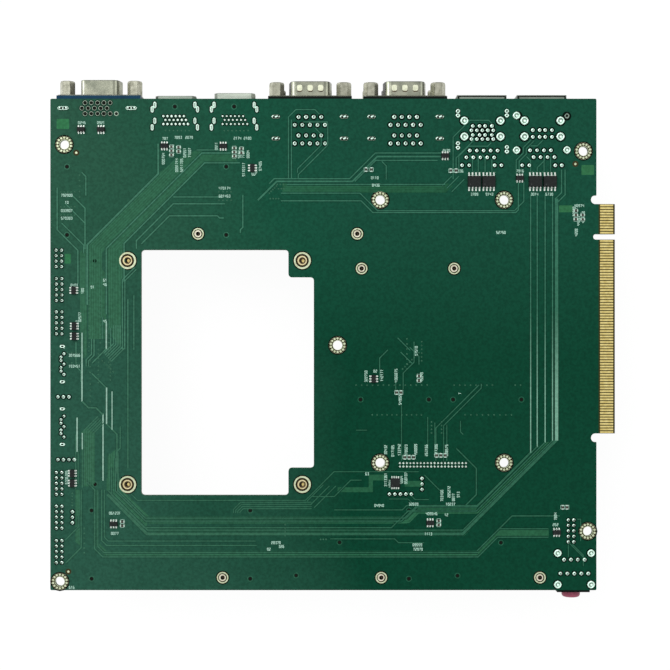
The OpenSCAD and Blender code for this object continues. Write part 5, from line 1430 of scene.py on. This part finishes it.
    def joints(self) -> None:
        """Solder every end that a CAD node puts through the board, in a ring of painted shade."""
        chance = random.Random(self.seed)
        (shade_rings,) = self.solids(1)
        for node, style in self.styles:
            found = tails(self.board, node)
            for tail in found:
                half = self.joint(tail, style, chance)
                # A ring of painted shade round the joint.
                seam = (half[0] + style.seam, half[1] + style.seam)
                shade_rings.plate(rounded(tail.x, tail.y, *seam, min(seam)), -self.seam_out, self.seam_out)
            log.info("soldered %s: %d ends", node, len(found))
        shade_rings.piece("mask_openings", JOINT_SHADE_MASK, "solder_mask")

    def slots(self) -> None:
        """Fill the two long slots of the analogue port's board locks."""
        ends = tails(self.board, "analogue_port_shell")
        middle = sum(t.x for t in ends) / len(ends)
        for side in (-1, 1):
            near = [t for t in ends if (t.x - middle) * side > 0]
            x = sum(t.x for t in near) / len(near) + self.slot_shift
            y = sum(t.y for t in near) / len(near)
            top = max(t.out for t in near)
            inner = tuple(half - self.slot_wall for half in self.slot)
            self.holes.plate(rounded(x, y, *inner, inner[1]), -SKIN, top + SKIN)
            self.piles[SOLDER.name].ring(x, y, self.slot, inner, top + self.slot_out)
            for along, aside, radius in self.blobs:
                core = radius * self.blob_core
                blob = Tail(x + along, y + aside, core, core, top)
                self.piles[SOLDER.name].mound(blob, radius - core, top + self.blob_out)

    def spare(self) -> None:
        """Plate the hole that stands free beside the analogue port's last row."""
        row = tails(self.board, "analogue_port_pins")
        low = min(t.y for t in row)
        last = max(t.x for t in row if t.y < low + self.row_slack)
        x = last + self.spare_pitch
        self.piles[DULL_SOLDER.name].washer(x, low, *self.spare_ring)
        self.holes.disc(x, low, self.spare_hole[0], -SKIN, self.spare_hole[1])

    def build(self) -> None:
        """Solder the board."""
        finishes = {style.finish.name: style.finish for _, style in self.styles}
        self.piles = {name: Solids(self.wardrobe) for name in sorted(finishes)}
        # Dark plates of painted shade in holes and slots.
        self.holes = Solids(self.wardrobe)
        self.joints()
        self.slots()
        self.spare()
        for name, pile in self.piles.items():
            pile.piece(name + "_joints", finishes[name], "pin_tin", True)
        self.holes.piece("hole_shadows", PAINTED_SHADE, "black_plastic")


# ---------------------------------------------------------------- lands and marks


@dataclass(frozen=True)
class Turning:
    """The rings that show on a turned part, from its bore outwards."""

    node: str
    bore: float
    crest: float
    pitch: float
    # A ring of painted shade in the groove, the threads in painted shade, and a painted highlight on the
    # bore's floor.
    groove: Point
    bore_finish: Finish
    glint_finish: Finish


@dataclass
class Lands(Assembly):
    """Rims and rings of the lands with painted shade, their stitching holes, the posts' threads with painted
    shade and highlights, and the sighting dots.
    """

    stitches: int = 14
    bead_ring: float = 2.5
    bead_size: float = 0.42
    bead_out: float = 0.03
    bore_rim: Point = (1.87, 1.72)
    # Shifts the bore's bright rim so that a crescent of painted shade shows on one side.
    rim_shift: float = 0.05
    outs: Sizes = (0.02, 0.012, 0.02)  # heights of the rim, the band and the bore's rim
    rim: float = 0.46
    rim_lap: float = 0.1
    post_reach: float = 1.0
    sights: tuple[Point, ...] = ((9.5, 160.2), (192.3, 156.1), (6.6, 6.8))
    sight_size: Point = (0.44, 0.05)  # radius, height
    sight_clearance: Point = (1.1, 0.015)  # radius, height

    turnings: tuple[Turning, ...] = (
        Turning("module_posts", 1.25, 0.75, 0.5, (1.74, 2.46), SHADED_BRASS, BORE_LIGHT),
        Turning("card_nuts", 0.8, 0.45, 0.4, (1.3, 1.62), PAINTED_SHADE, SHADED_BRASS),
    )
    # Rings of painted shade in the grooves, shifted to one side; a disc of painted shade deep in each bore;
    # a painted highlight on it.
    groove_shift: Point = (-0.07, 0.02)
    groove_out: float = 0.02
    bore_depth: float = 0.9
    bore_plug: float = 0.3
    clearance: Point = (0.02, 0.03)  # of the disc of painted shade, of the thread
    glint: Point = (0.36, 0.58)  # aside and radius, as shares of the bore
    glint_span: Point = (-0.1, 0.05)  # round the floor of the bore

    def rims(self) -> None:
        """Darken the gap in the mask round every land with painted shade, and bead the large ones with
        plugged holes over a band of painted shade.
        """
        rims, holes, eyes = self.solids(3)
        level = self.board.out(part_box("mounting_lands")[1].z)
        rim_out, hole_out, eye_out = self.outs
        outer, inner = self.bore_rim
        posts = tails(self.board, "module_posts") + tails(self.board, "card_nuts")
        for tail in tails(self.board, "mounting_lands"):
            x, y, size = tail.x, tail.y, tail.half_x
            rims.washer(x, y, size + self.rim, size - self.rim_lap, rim_out)
            if any(math.hypot(x - p.x, y - p.y) < self.post_reach for p in posts):
                continue
            # A band of painted shade that shows between the beads and at the bore's edge.
            holes.washer(x, y, size, inner, hole_out, level)
            for k in range(self.stitches):
                angle = math.tau * (k + 0.5) / self.stitches
                place = x + self.bead_ring * math.cos(angle), y + self.bead_ring * math.sin(angle)
                eyes.disc(*place, self.bead_size, level, level + self.bead_out)
            eyes.washer(x + self.rim_shift, y, outer, inner, eye_out, level)
        rims.piece("land_rims", RIM, "solder_mask")
        holes.piece("stitch_holes", LAND_SHADE, "gold_plating")
        eyes.piece("stitch_plugs", LAND, "gold_plating")

    def turned(self) -> None:
        """Thread the posts and the nuts, with painted shade in their grooves and bores and a painted
        highlight on each bore's floor.
        """
        for turning in self.turnings:
            groove_shades, threads, bore_shades, glints = self.solids(4)
            low = self.board.out(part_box(turning.node)[0].z)
            inner, outer = turning.groove
            for tail in tails(self.board, turning.node):
                x, y, floor = tail.x, tail.y, tail.out - self.bore_depth
                aside, along = self.groove_shift
                groove_shades.washer(x + aside, y + along, outer, inner, self.groove_out, tail.out)
                bore_shades.disc(x, y, turning.bore + self.clearance[0], floor - self.bore_plug, floor)
                spot = x + turning.bore * self.glint[0], y, turning.bore * self.glint[1]
                glints.disc(*spot, *(floor + more for more in self.glint_span))
                span = (low + turning.pitch / 2, tail.out - turning.pitch / 2)
                threads.thread(x, y, turning.bore + self.clearance[1], turning.crest, turning.pitch, span)
            groove_shades.piece(turning.node + "_grooves", LAND_SHADE, "post_brass")
            threads.piece(turning.node + "_threads", turning.bore_finish, "post_brass")
            bore_shades.piece(turning.node + "_bores", PAINTED_SHADE, "post_brass")
            glints.piece(turning.node + "_glints", turning.glint_finish, "post_brass")

    def sighting(self) -> None:
        """Lay the sighting dots in their clear rings."""
        rings, dots = self.solids()
        for x, y in self.sights:
            for solids, (radius, out) in ((rings, self.sight_clearance), (dots, self.sight_size)):
                solids.disc(x, y, radius, -SKIN, out)
        rings.piece("sighting_rings", SIGHT_RING, "gold_plating")
        dots.piece("sighting_dots", LAND, "gold_plating")

    def build(self) -> None:
        """Make the rims, the turned parts' rings and the dots."""
        self.rims()
        self.turned()
        self.sighting()


@dataclass
class PortDetails(Assembly):
    """Lips of the network cages in a rim of painted shade, painted highlights on the serial shells' dimples,
    and the ends of the housings' pegs, with painted shade in their holes.
    """

    lip: float = 0.12
    lip_margins: Sizes = (0.02, 0.05, 0.05)  # before, behind and beside
    lip_inset: float = 0.42
    lip_edge: float = 0.3
    lip_corner: float = 0.1
    lip_skins: Point = (-0.02, 0.03)  # how far the lip goes past its edge of painted shade
    peg_ring: Point = (0.98, 0.36)
    peg_flat: float = 0.6
    peg_out: float = 0.1
    dimple_pitch: float = 3.9
    dimple_back: float = 2.5
    dimple_size: Sizes = (0.98, 1.1, 0.6)  # half width, half length, corner
    dimple_reach: float = 1.3
    dimple_sunk: float = 0.3
    shadow_margin: float = 0.02
    dimple: Sizes = (0.0, 0.08, 0.06)  # aside, along, out
    dimple_shadow: Sizes = (0.05, -0.3, 0.02)  # aside, along, out
    sunk_pegs: tuple[str, ...] = (
        "card_sockets", "module_slot_housing", "sim_holder_bodies", "flat_port_1_core", "flat_port_2_core",
    )
    sunk_level: float = -0.3
    sunk_hole: Sizes = (0.12, -0.1, 0.02)  # margin, low, high
    sunk_ring: Sizes = (0.52, 0.34, 0.015)  # margin outside, margin inside, height

    def lips(self) -> None:
        """Fold the network cages' front edge over the insert, under the board, on a dark plate whose rim
        paints the shade round it.
        """
        solids, edges = self.solids()
        under = -self.board.thick
        before, behind, beside = self.lip_margins
        for node in ("network_stack_1_insert", "network_stack_2_insert"):
            (x0, _), (x1, y1) = self.board.box(node)
            low, high = self.board.length + before, y1 - behind
            x, y, half_x, half_y = (x0 + x1) / 2, (low + high) / 2, (x1 - x0) / 2, (high - low) / 2
            outline = rounded(x, y, half_x + beside, half_y, self.lip_corner, 2)
            edges.plate(outline, under, under + self.lip)
            back = self.lip_edge / 2
            outline = rounded(x, y - back, half_x - self.lip_inset, half_y - back, self.lip_corner, 2)
            solids.plate(outline, under + self.lip_skins[0], under + self.lip + self.lip_skins[1])
        solids.piece("cage_lips", FINISHES["port_steel"], "port_steel")
        edges.piece("cage_lip_edges", PAINTED_SHADE, "port_steel")

    def pegs(self) -> None:
        """Flatten the ends of the storage ports' pegs into ovals."""
        rings, shadows = self.solids()
        outer, inner = self.peg_ring
        ovals = (outer, outer * self.peg_flat), (inner, inner * self.peg_flat)
        for tail in tails(self.board, "storage_port_housings"):
            rings.ring(tail.x, tail.y, *ovals, tail.out + self.peg_out)
            shadows.disc(tail.x, tail.y, inner, -SKIN, tail.out + 2 * SKIN)
        rings.piece("peg_rings", SOLDER, "pin_tin", True)
        shadows.piece("peg_shadows", PAINTED_SHADE, "black_plastic")

    def sunk(self) -> None:
        """Fill the holes of the pegs that stop short of the solder face with painted shade, inside a faint
        ring.
        """
        holes, rings = self.solids()
        margin, low, high = self.sunk_hole
        outer, inner, out = self.sunk_ring
        for node in self.sunk_pegs:
            for tail in tails(self.board, node, self.sunk_level):
                holes.disc(tail.x, tail.y, tail.half_x + margin, low, high)
                rings.washer(tail.x, tail.y, tail.half_x + outer, tail.half_x + inner, out)
        holes.piece("sunk_pegs", PAINTED_SHADE, "black_plastic")
        rings.piece("sunk_peg_rings", TRACE_MASK, "solder_mask")

    def level(self, node: str, x: float, y: float) -> float:
        """Find how high a node's mesh reaches near a place.

        Args:
            node: The CAD node.
            x: Millimetres from the left end.
            y: Millimetres from the audio edge.

        Returns:
            The height in millimetres over the solder face.
        """
        here, reach = self.board.at(x, y, 0)[:2], self.dimple_reach * MM
        places = [v.co for v in frame["nodes"][node].data.vertices]
        return self.board.out(max(p.z for p in places if math.dist(p[:2], here) < reach))

    def spots(self) -> None:
        """Paint highlights, with painted shadows below them, on the dimples of the serial shells that face
        the solder side.
        """
        bright, dark = self.solids()
        half_x, half_y, corner = self.dimple_size
        for node in ("serial_stack_1_shells", "serial_stack_2_shells"):
            (x0, _), (x1, y1) = self.board.box(node)
            for k in (-1, 0, 1):
                x, y = (x0 + x1) / 2 + k * self.dimple_pitch, y1 - self.dimple_back
                top = self.level(node, x, y)
                for solids, (aside, along, out) in ((dark, self.dimple_shadow), (bright, self.dimple)):
                    wide = half_x + (self.shadow_margin if solids is dark else 0)
                    outline = rounded(x + aside, y + along, wide, half_y, corner)
                    solids.plate(outline, top - self.dimple_sunk, top + out)
        bright.piece("serial_spots", DIMPLE_HIGHLIGHT, "shell_nickel")
        dark.piece("serial_spot_shadows", SHADED_BRASS, "shell_nickel")

    def build(self) -> None:
        """Make the lips, the rings and the spots."""
        self.lips()
        self.pegs()
        self.sunk()
        self.spots()


@dataclass
class SmallParts(Assembly):
    """Tinned ends of the small parts, the feet of the chips and the marks on them."""

    cap_share: float = 0.2
    cap_skin: float = 0.02
    cap_rings: tuple[Sizes, ...] = (  # growth, share of the part's height, out
        (0.14, 0.0, -0.01), (0.12, 0.0, 0.06), (0.03, 0.0, 0.3), (0.0, 1.0, 0.0), (-0.04, 1.0, 0.03),
    )
    cap_corner: Point = (0.1, 0.4)  # radius, and the share of a ring's growth that goes sideways
    foot_margin: float = 0.05
    # How much smaller, corner and height of each outline.
    foot_rings: tuple[Sizes, ...] = ((0.0, 0.08, -0.01), (0.0, 0.08, 0.05), (0.08, 0.06, 0.1))
    mark_size: Point = (0.13, 0.06)  # share of the chip's half width, and a plain part
    mark_at: Point = (0.62, 0.55)  # shares of the chip's half sizes
    mark_ring: Point = (0.4, 0.015)  # share of the radius, height
    mark_disc: Sizes = (0.5, -0.02, 0.012)  # share of the radius, low, high

    def caps(self) -> None:
        """Tin both ends of every small part."""
        (solids,) = self.solids(1)
        corner, narrow = self.cap_corner
        for tail in tails(self.board, "chip_passives"):
            along_x = tail.half_x > tail.half_y
            half, wide = max(tail.half_x, tail.half_y), min(tail.half_x, tail.half_y) + self.cap_skin
            cap = half * self.cap_share
            size = (cap + 2 * self.cap_skin, wide) if along_x else (wide, cap + 2 * self.cap_skin)
            for side in (-1, 1):
                shift = side * (half - cap + self.cap_skin)
                x, y = (tail.x + shift, tail.y) if along_x else (tail.x, tail.y + shift)
                rings = []
                for grow, share, out in self.cap_rings:
                    outline = rounded(x, y, size[0] + grow, size[1] + grow * narrow, corner, 2)
                    rings.append((outline, share * tail.out + out))
                solids.loft(rings)
        solids.piece("tinned_ends", TIN_END, "pin_tin")

    def feet(self) -> None:
        """Solder the chips' feet to their pads."""
        (solids,) = self.solids(1)
        for tail in tails(self.board, "chip_leads"):
            rings = []
            for less, corner, out in self.foot_rings:
                rings.append((rounded(tail.x, tail.y, *tail.grown(self.foot_margin - less), corner, 2), out))
            solids.loft(rings)
        solids.piece("chip_feet_solder", SOLDER, "pin_tin")

    def marks(self) -> None:
        """Press the first-pin dimple on every chip."""
        (solids,) = self.solids(1)
        inner, ring_out = self.mark_ring
        share, low, high = self.mark_disc
        for tail in tails(self.board, "chip_bodies"):
            radius = self.mark_size[0] * min(tail.half_x, tail.half_y) + self.mark_size[1]
            x, y = tail.x - tail.half_x * self.mark_at[0], tail.y - tail.half_y * self.mark_at[1]
            solids.washer(x, y, radius, radius * inner, ring_out)
            solids.plate(rounded(x, y, *(radius * share,) * 3), tail.out + low, tail.out + high)
        solids.piece("chip_dimples", CHIP_MARK, "chip_black")

    def build(self) -> None:
        """Make the ends, the feet and the marks."""
        self.caps()
        self.feet()
        self.marks()


# ---------------------------------------------------------------- printing


STROKES: dict[str, tuple[tuple[Point, ...], ...]] = {
    "0": (((0, 0), (1, 0), (1, 2), (0, 2), (0, 0)),),
    "1": (((0.5, 0), (0.5, 2), (0.1, 1.6)),),
    "2": (((0, 2), (1, 2), (1, 1), (0, 1), (0, 0), (1, 0)),),
    "3": (((0, 2), (1, 2), (1, 0), (0, 0)), ((0.2, 1), (1, 1))),
    "4": (((0, 2), (0, 1), (1, 1)), ((1, 2), (1, 0))),
    "5": (((1, 2), (0, 2), (0, 1), (1, 1), (1, 0), (0, 0)),),
    "6": (((1, 2), (0, 2), (0, 0), (1, 0), (1, 1), (0, 1)),),
    "7": (((0, 2), (1, 2), (0.4, 0)),),
    "8": (((0, 1), (0, 2), (1, 2), (1, 0), (0, 0), (0, 1)), ((0, 1), (1, 1))),
    "9": (((0, 0), (1, 0), (1, 2), (0, 2), (0, 1), (1, 1)),),
}


@dataclass
class Printing(Assembly):
    """Plain part numbers and outlines in white ink."""

    ink: float = 0.15
    out: float = 0.045
    digit: Point = (0.42, 0.44)  # width, half height
    gap: float = 0.3
    seed: int = 11
    rule: float = 0.12
    rule_share: float = 0.7
    margin: float = 0.3

    level: tuple[tuple[float, float, int], ...] = (
        (42, 165.4, 3), (46.8, 165.8, 4), (50.8, 165.8, 4), (68.5, 165.5, 4), (72.2, 165.5, 4),
        (74.3, 152.3, 2), (6, 144.6, 6), (6, 142, 2), (6, 139, 6), (6, 136.2, 6), (63.8, 147.2, 6),
        (63.8, 144.3, 6), (8.8, 111.7, 4), (15.4, 111, 2), (20, 113.5, 2), (20, 111.9, 2), (4.6, 89, 2),
        (4.6, 76.4, 2), (8.8, 86, 6), (8.8, 82, 6), (20, 98.5, 2), (23.6, 28.2, 6), (23.6, 20.8, 4),
        (82.6, 17.4, 5), (84.6, 16, 3), (7.8, 1, 3), (116, 42.6, 2), (120.4, 31, 5), (133, 31.5, 5),
        (146.5, 31.5, 5), (139.6, 28, 6), (138.4, 20.6, 4), (142.4, 24.4, 2), (134.4, 16.6, 5),
        (134.6, 15, 5), (185, 24, 3), (145, 161, 4), (147, 153.5, 3), (150.2, 153.5, 3), (172, 153.5, 4),
        (118.8, 151, 4), (119.2, 148.3, 4), (193.7, 140.8, 5), (119, 80.2, 2), (145, 27.6, 2),
        (155.3, 145, 4), (160.8, 145, 4), (177.3, 145, 4), (182.7, 145, 4), (11.5, 171.2, 4),
        (18.5, 171.2, 4), (165, 131, 5), (80, 15, 2),
    )
    upright: tuple[tuple[float, float, int], ...] = (
        (41.4, 158, 6), (46.3, 155.6, 7), (48.1, 155.6, 7), (49.2, 160.2, 5), (51, 160.2, 5),
        (44.8, 161, 6), (60.8, 162.6, 4), (67.6, 159.6, 4), (69.2, 159.6, 4), (70.6, 159.6, 4),
        (72.4, 159.6, 4), (70.8, 154, 7), (76.9, 155.3, 5), (75.2, 153.6, 4), (10.8, 100, 5), (9.8, 97, 5),
        (6, 41.3, 7), (115.6, 78.3, 6), (121.4, 78.6, 6), (126.6, 78.6, 7), (134, 87.6, 5), (136, 78, 5),
        (128.1, 70, 6), (150, 72, 1), (122.8, 51.4, 5), (125.4, 51, 6), (127.8, 51.4, 6), (130.3, 51.2, 6),
        (133.8, 51.4, 6), (137.7, 51.2, 6), (141.3, 51.4, 6), (145.1, 51.2, 6), (122.8, 40.4, 7),
        (124.4, 39, 4), (130.2, 41, 6), (128.6, 40.4, 4), (143.4, 34.6, 6), (146, 36, 6), (147.6, 34, 4),
        (149.4, 35, 3), (185, 27, 4), (191.8, 138.7, 5), (193.4, 135.2, 5), (192.6, 131, 4),
        (195.2, 136.6, 6), (11.8, 109.6, 3),
    )

    def number(self, solids: Solids, text: str, x: float, y: float, turned: bool = False) -> None:
        """Print a plain number round a middle.

        Args:
            solids: The ink so far.
            text: The digits.
            x: Middle, in millimetres.
            y: Middle, in millimetres.
            turned: Whether it reads upwards.
        """
        advance = self.digit[0] + self.gap
        width = advance * len(text) - self.gap
        for k, mark in enumerate(text):
            for stroke in STROKES[mark]:
                line = []
                for u, v in stroke:
                    px = k * advance + u * self.digit[0] - width / 2
                    py = (v - 1) * self.digit[1]
                    line.append((x - py, y + px) if turned else (x + px, y + py))
                solids.strip(line, self.ink, -SKIN, self.out)

    def outlines(self, solids: Solids) -> None:
        """Rule a line along both long sides of every chip and small part.

        Args:
            solids: The ink so far.
        """
        for tail in tails(self.board, "chip_bodies") + tails(self.board, "chip_passives"):
            half_x, half_y = tail.grown(self.margin)
            for side in (-1, 1):
                if tail.half_x > tail.half_y:
                    ends = [(along * half_x * self.rule_share, side * half_y) for along in (-1, 1)]
                else:
                    ends = [(side * half_x, along * half_y * self.rule_share) for along in (-1, 1)]
                solids.strip([(tail.x + u, tail.y + v) for u, v in ends], self.rule, -SKIN, self.out)

    def build(self) -> None:
        """Print everything."""
        chance = random.Random(self.seed)
        (solids,) = self.solids(1)
        for places, turned in ((self.level, False), (self.upright, True)):
            for x, y, count in places:
                text = "".join(str(chance.randint(0, 9)) for _ in range(count))
                self.number(solids, text, x, y, turned)
        self.outlines(solids)
        solids.piece("printing", SILK, "bus_white")


# ---------------------------------------------------------------- studio


@dataclass
class Studio:
    """Floor, light and camera."""

    board: Board
    floor_size: float = 3.0
    paper: tuple[Colour, Colour] = ((0.9, 0.9, 0.9), (0.86, 0.86, 0.86))
    paper_patch: float = 40.0
    paper_rough: float = 0.9
    paper_gloss: float = 0.1
    glow: Point = (1.05, 0.9)  # strength, and its share where it is seen
    sky: float = 0.62
    lamp: float = 1.15
    lamp_width: float = 40.0
    lamp_turn: Point = (-28.0, -24.0)
    lens: float = 73.36
    sensor: float = 36.0
    height: float = 0.5
    shift: Point = (0.85, 1.5)

    def floor(self) -> None:
        """Lay the pale floor, which keeps a faint shadow."""
        half = self.floor_size / 2
        mesh = bpy.data.meshes.new("floor")
        corners = [(-half, -half, 0), (half, -half, 0), (half, half, 0), (-half, half, 0)]
        mesh.from_pydata(corners, [], [(0, 1, 2, 3)])
        floor = bpy.data.objects.new("floor", mesh)
        bpy.context.scene.collection.objects.link(floor)
        recipe = Recipe("floor_paper")
        tone = recipe.spread(recipe.noise(self.paper_patch), NOISE_SPAN)
        recipe.dress(Base_Color=recipe.blend(tone, *self.paper))
        recipe.dress(Roughness=self.paper_rough, Specular_IOR_Level=self.paper_gloss)
        strength, most = self.glow
        glow = recipe.node("Emission", {"Strength": strength}).outputs[0]
        share = recipe.node("Math", {0: recipe.seen(), 1: most}, operation="MULTIPLY").outputs[0]
        mix = recipe.node("MixShader", {0: share, 1: recipe.shader.outputs[0], 2: glow})
        recipe.feed(recipe.find("OUTPUT_MATERIAL"), "Surface", mix.outputs[0])
        mesh.materials.append(recipe.material)
        floor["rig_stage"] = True

    def light(self) -> None:
        """Set the even sky and one broad soft lamp."""
        world = bpy.data.worlds.new("studio")
        bpy.context.scene.world = world
        world.use_nodes = True
        tree = Tree(world.node_tree)
        background = tree.find("BACKGROUND")
        strength = tree.node("MapRange", {"Value": tree.seen(), "To Min": self.sky, "To Max": 1.0})
        tree.feed(background, "Strength", strength.outputs["Result"])
        tree.feed(background, "Color", (1, 1, 1, 1))
        lamp = bpy.data.lights.new("soft_lamp", "SUN")
        lamp.energy = self.lamp
        lamp.angle = math.radians(self.lamp_width)
        holder = bpy.data.objects.new("soft_lamp", lamp)
        holder.rotation_euler = (*(math.radians(turn) for turn in self.lamp_turn), 0)
        bpy.context.scene.collection.objects.link(holder)

    def camera(self) -> None:
        """Look straight down on the solder face."""
        low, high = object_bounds()
        data = bpy.data.cameras.new("camera")
        data.lens = self.lens
        data.sensor_width = self.sensor
        camera = bpy.data.objects.new("camera", data)
        middle = [(low[i] + high[i]) / 2 + self.shift[i] * MM for i in (0, 1)]
        camera.location = (*middle, self.board.solder + self.height)
        bpy.context.scene.collection.objects.link(camera)
        bpy.context.scene.camera = camera

    def build(self) -> None:
        """Set up the studio."""
        bpy.context.scene.view_settings.view_transform = "Standard"
        self.floor()
        self.light()
        self.camera()
        log.info("studio ready")


def clear_defaults() -> None:
    """Remove what a fresh file starts with."""
    for name in ("Cube", "Light", "Camera"):
        thing = bpy.data.objects.get(name)
        if thing is not None and "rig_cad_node" not in thing:
            bpy.data.objects.remove(thing)


def corners(box: tuple) -> list[list[float]]:
    """Write a box as plain lists."""
    return [[float(v) for v in corner] for corner in box]


def main() -> None:
    """Build the looks in order."""
    logging.basicConfig(level=logging.INFO, format="%(name)s %(message)s")
    clear_defaults()
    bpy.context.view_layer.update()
    board = Board.from_frame()
    Studio(board).build()
    wardrobe = Wardrobe(board)
    for assembly in (CadDress, Copper, Solder, Lands, PortDetails, SmallParts, Printing):
        assembly(board, wardrobe).build()


if __name__ == "__main__":
    main()
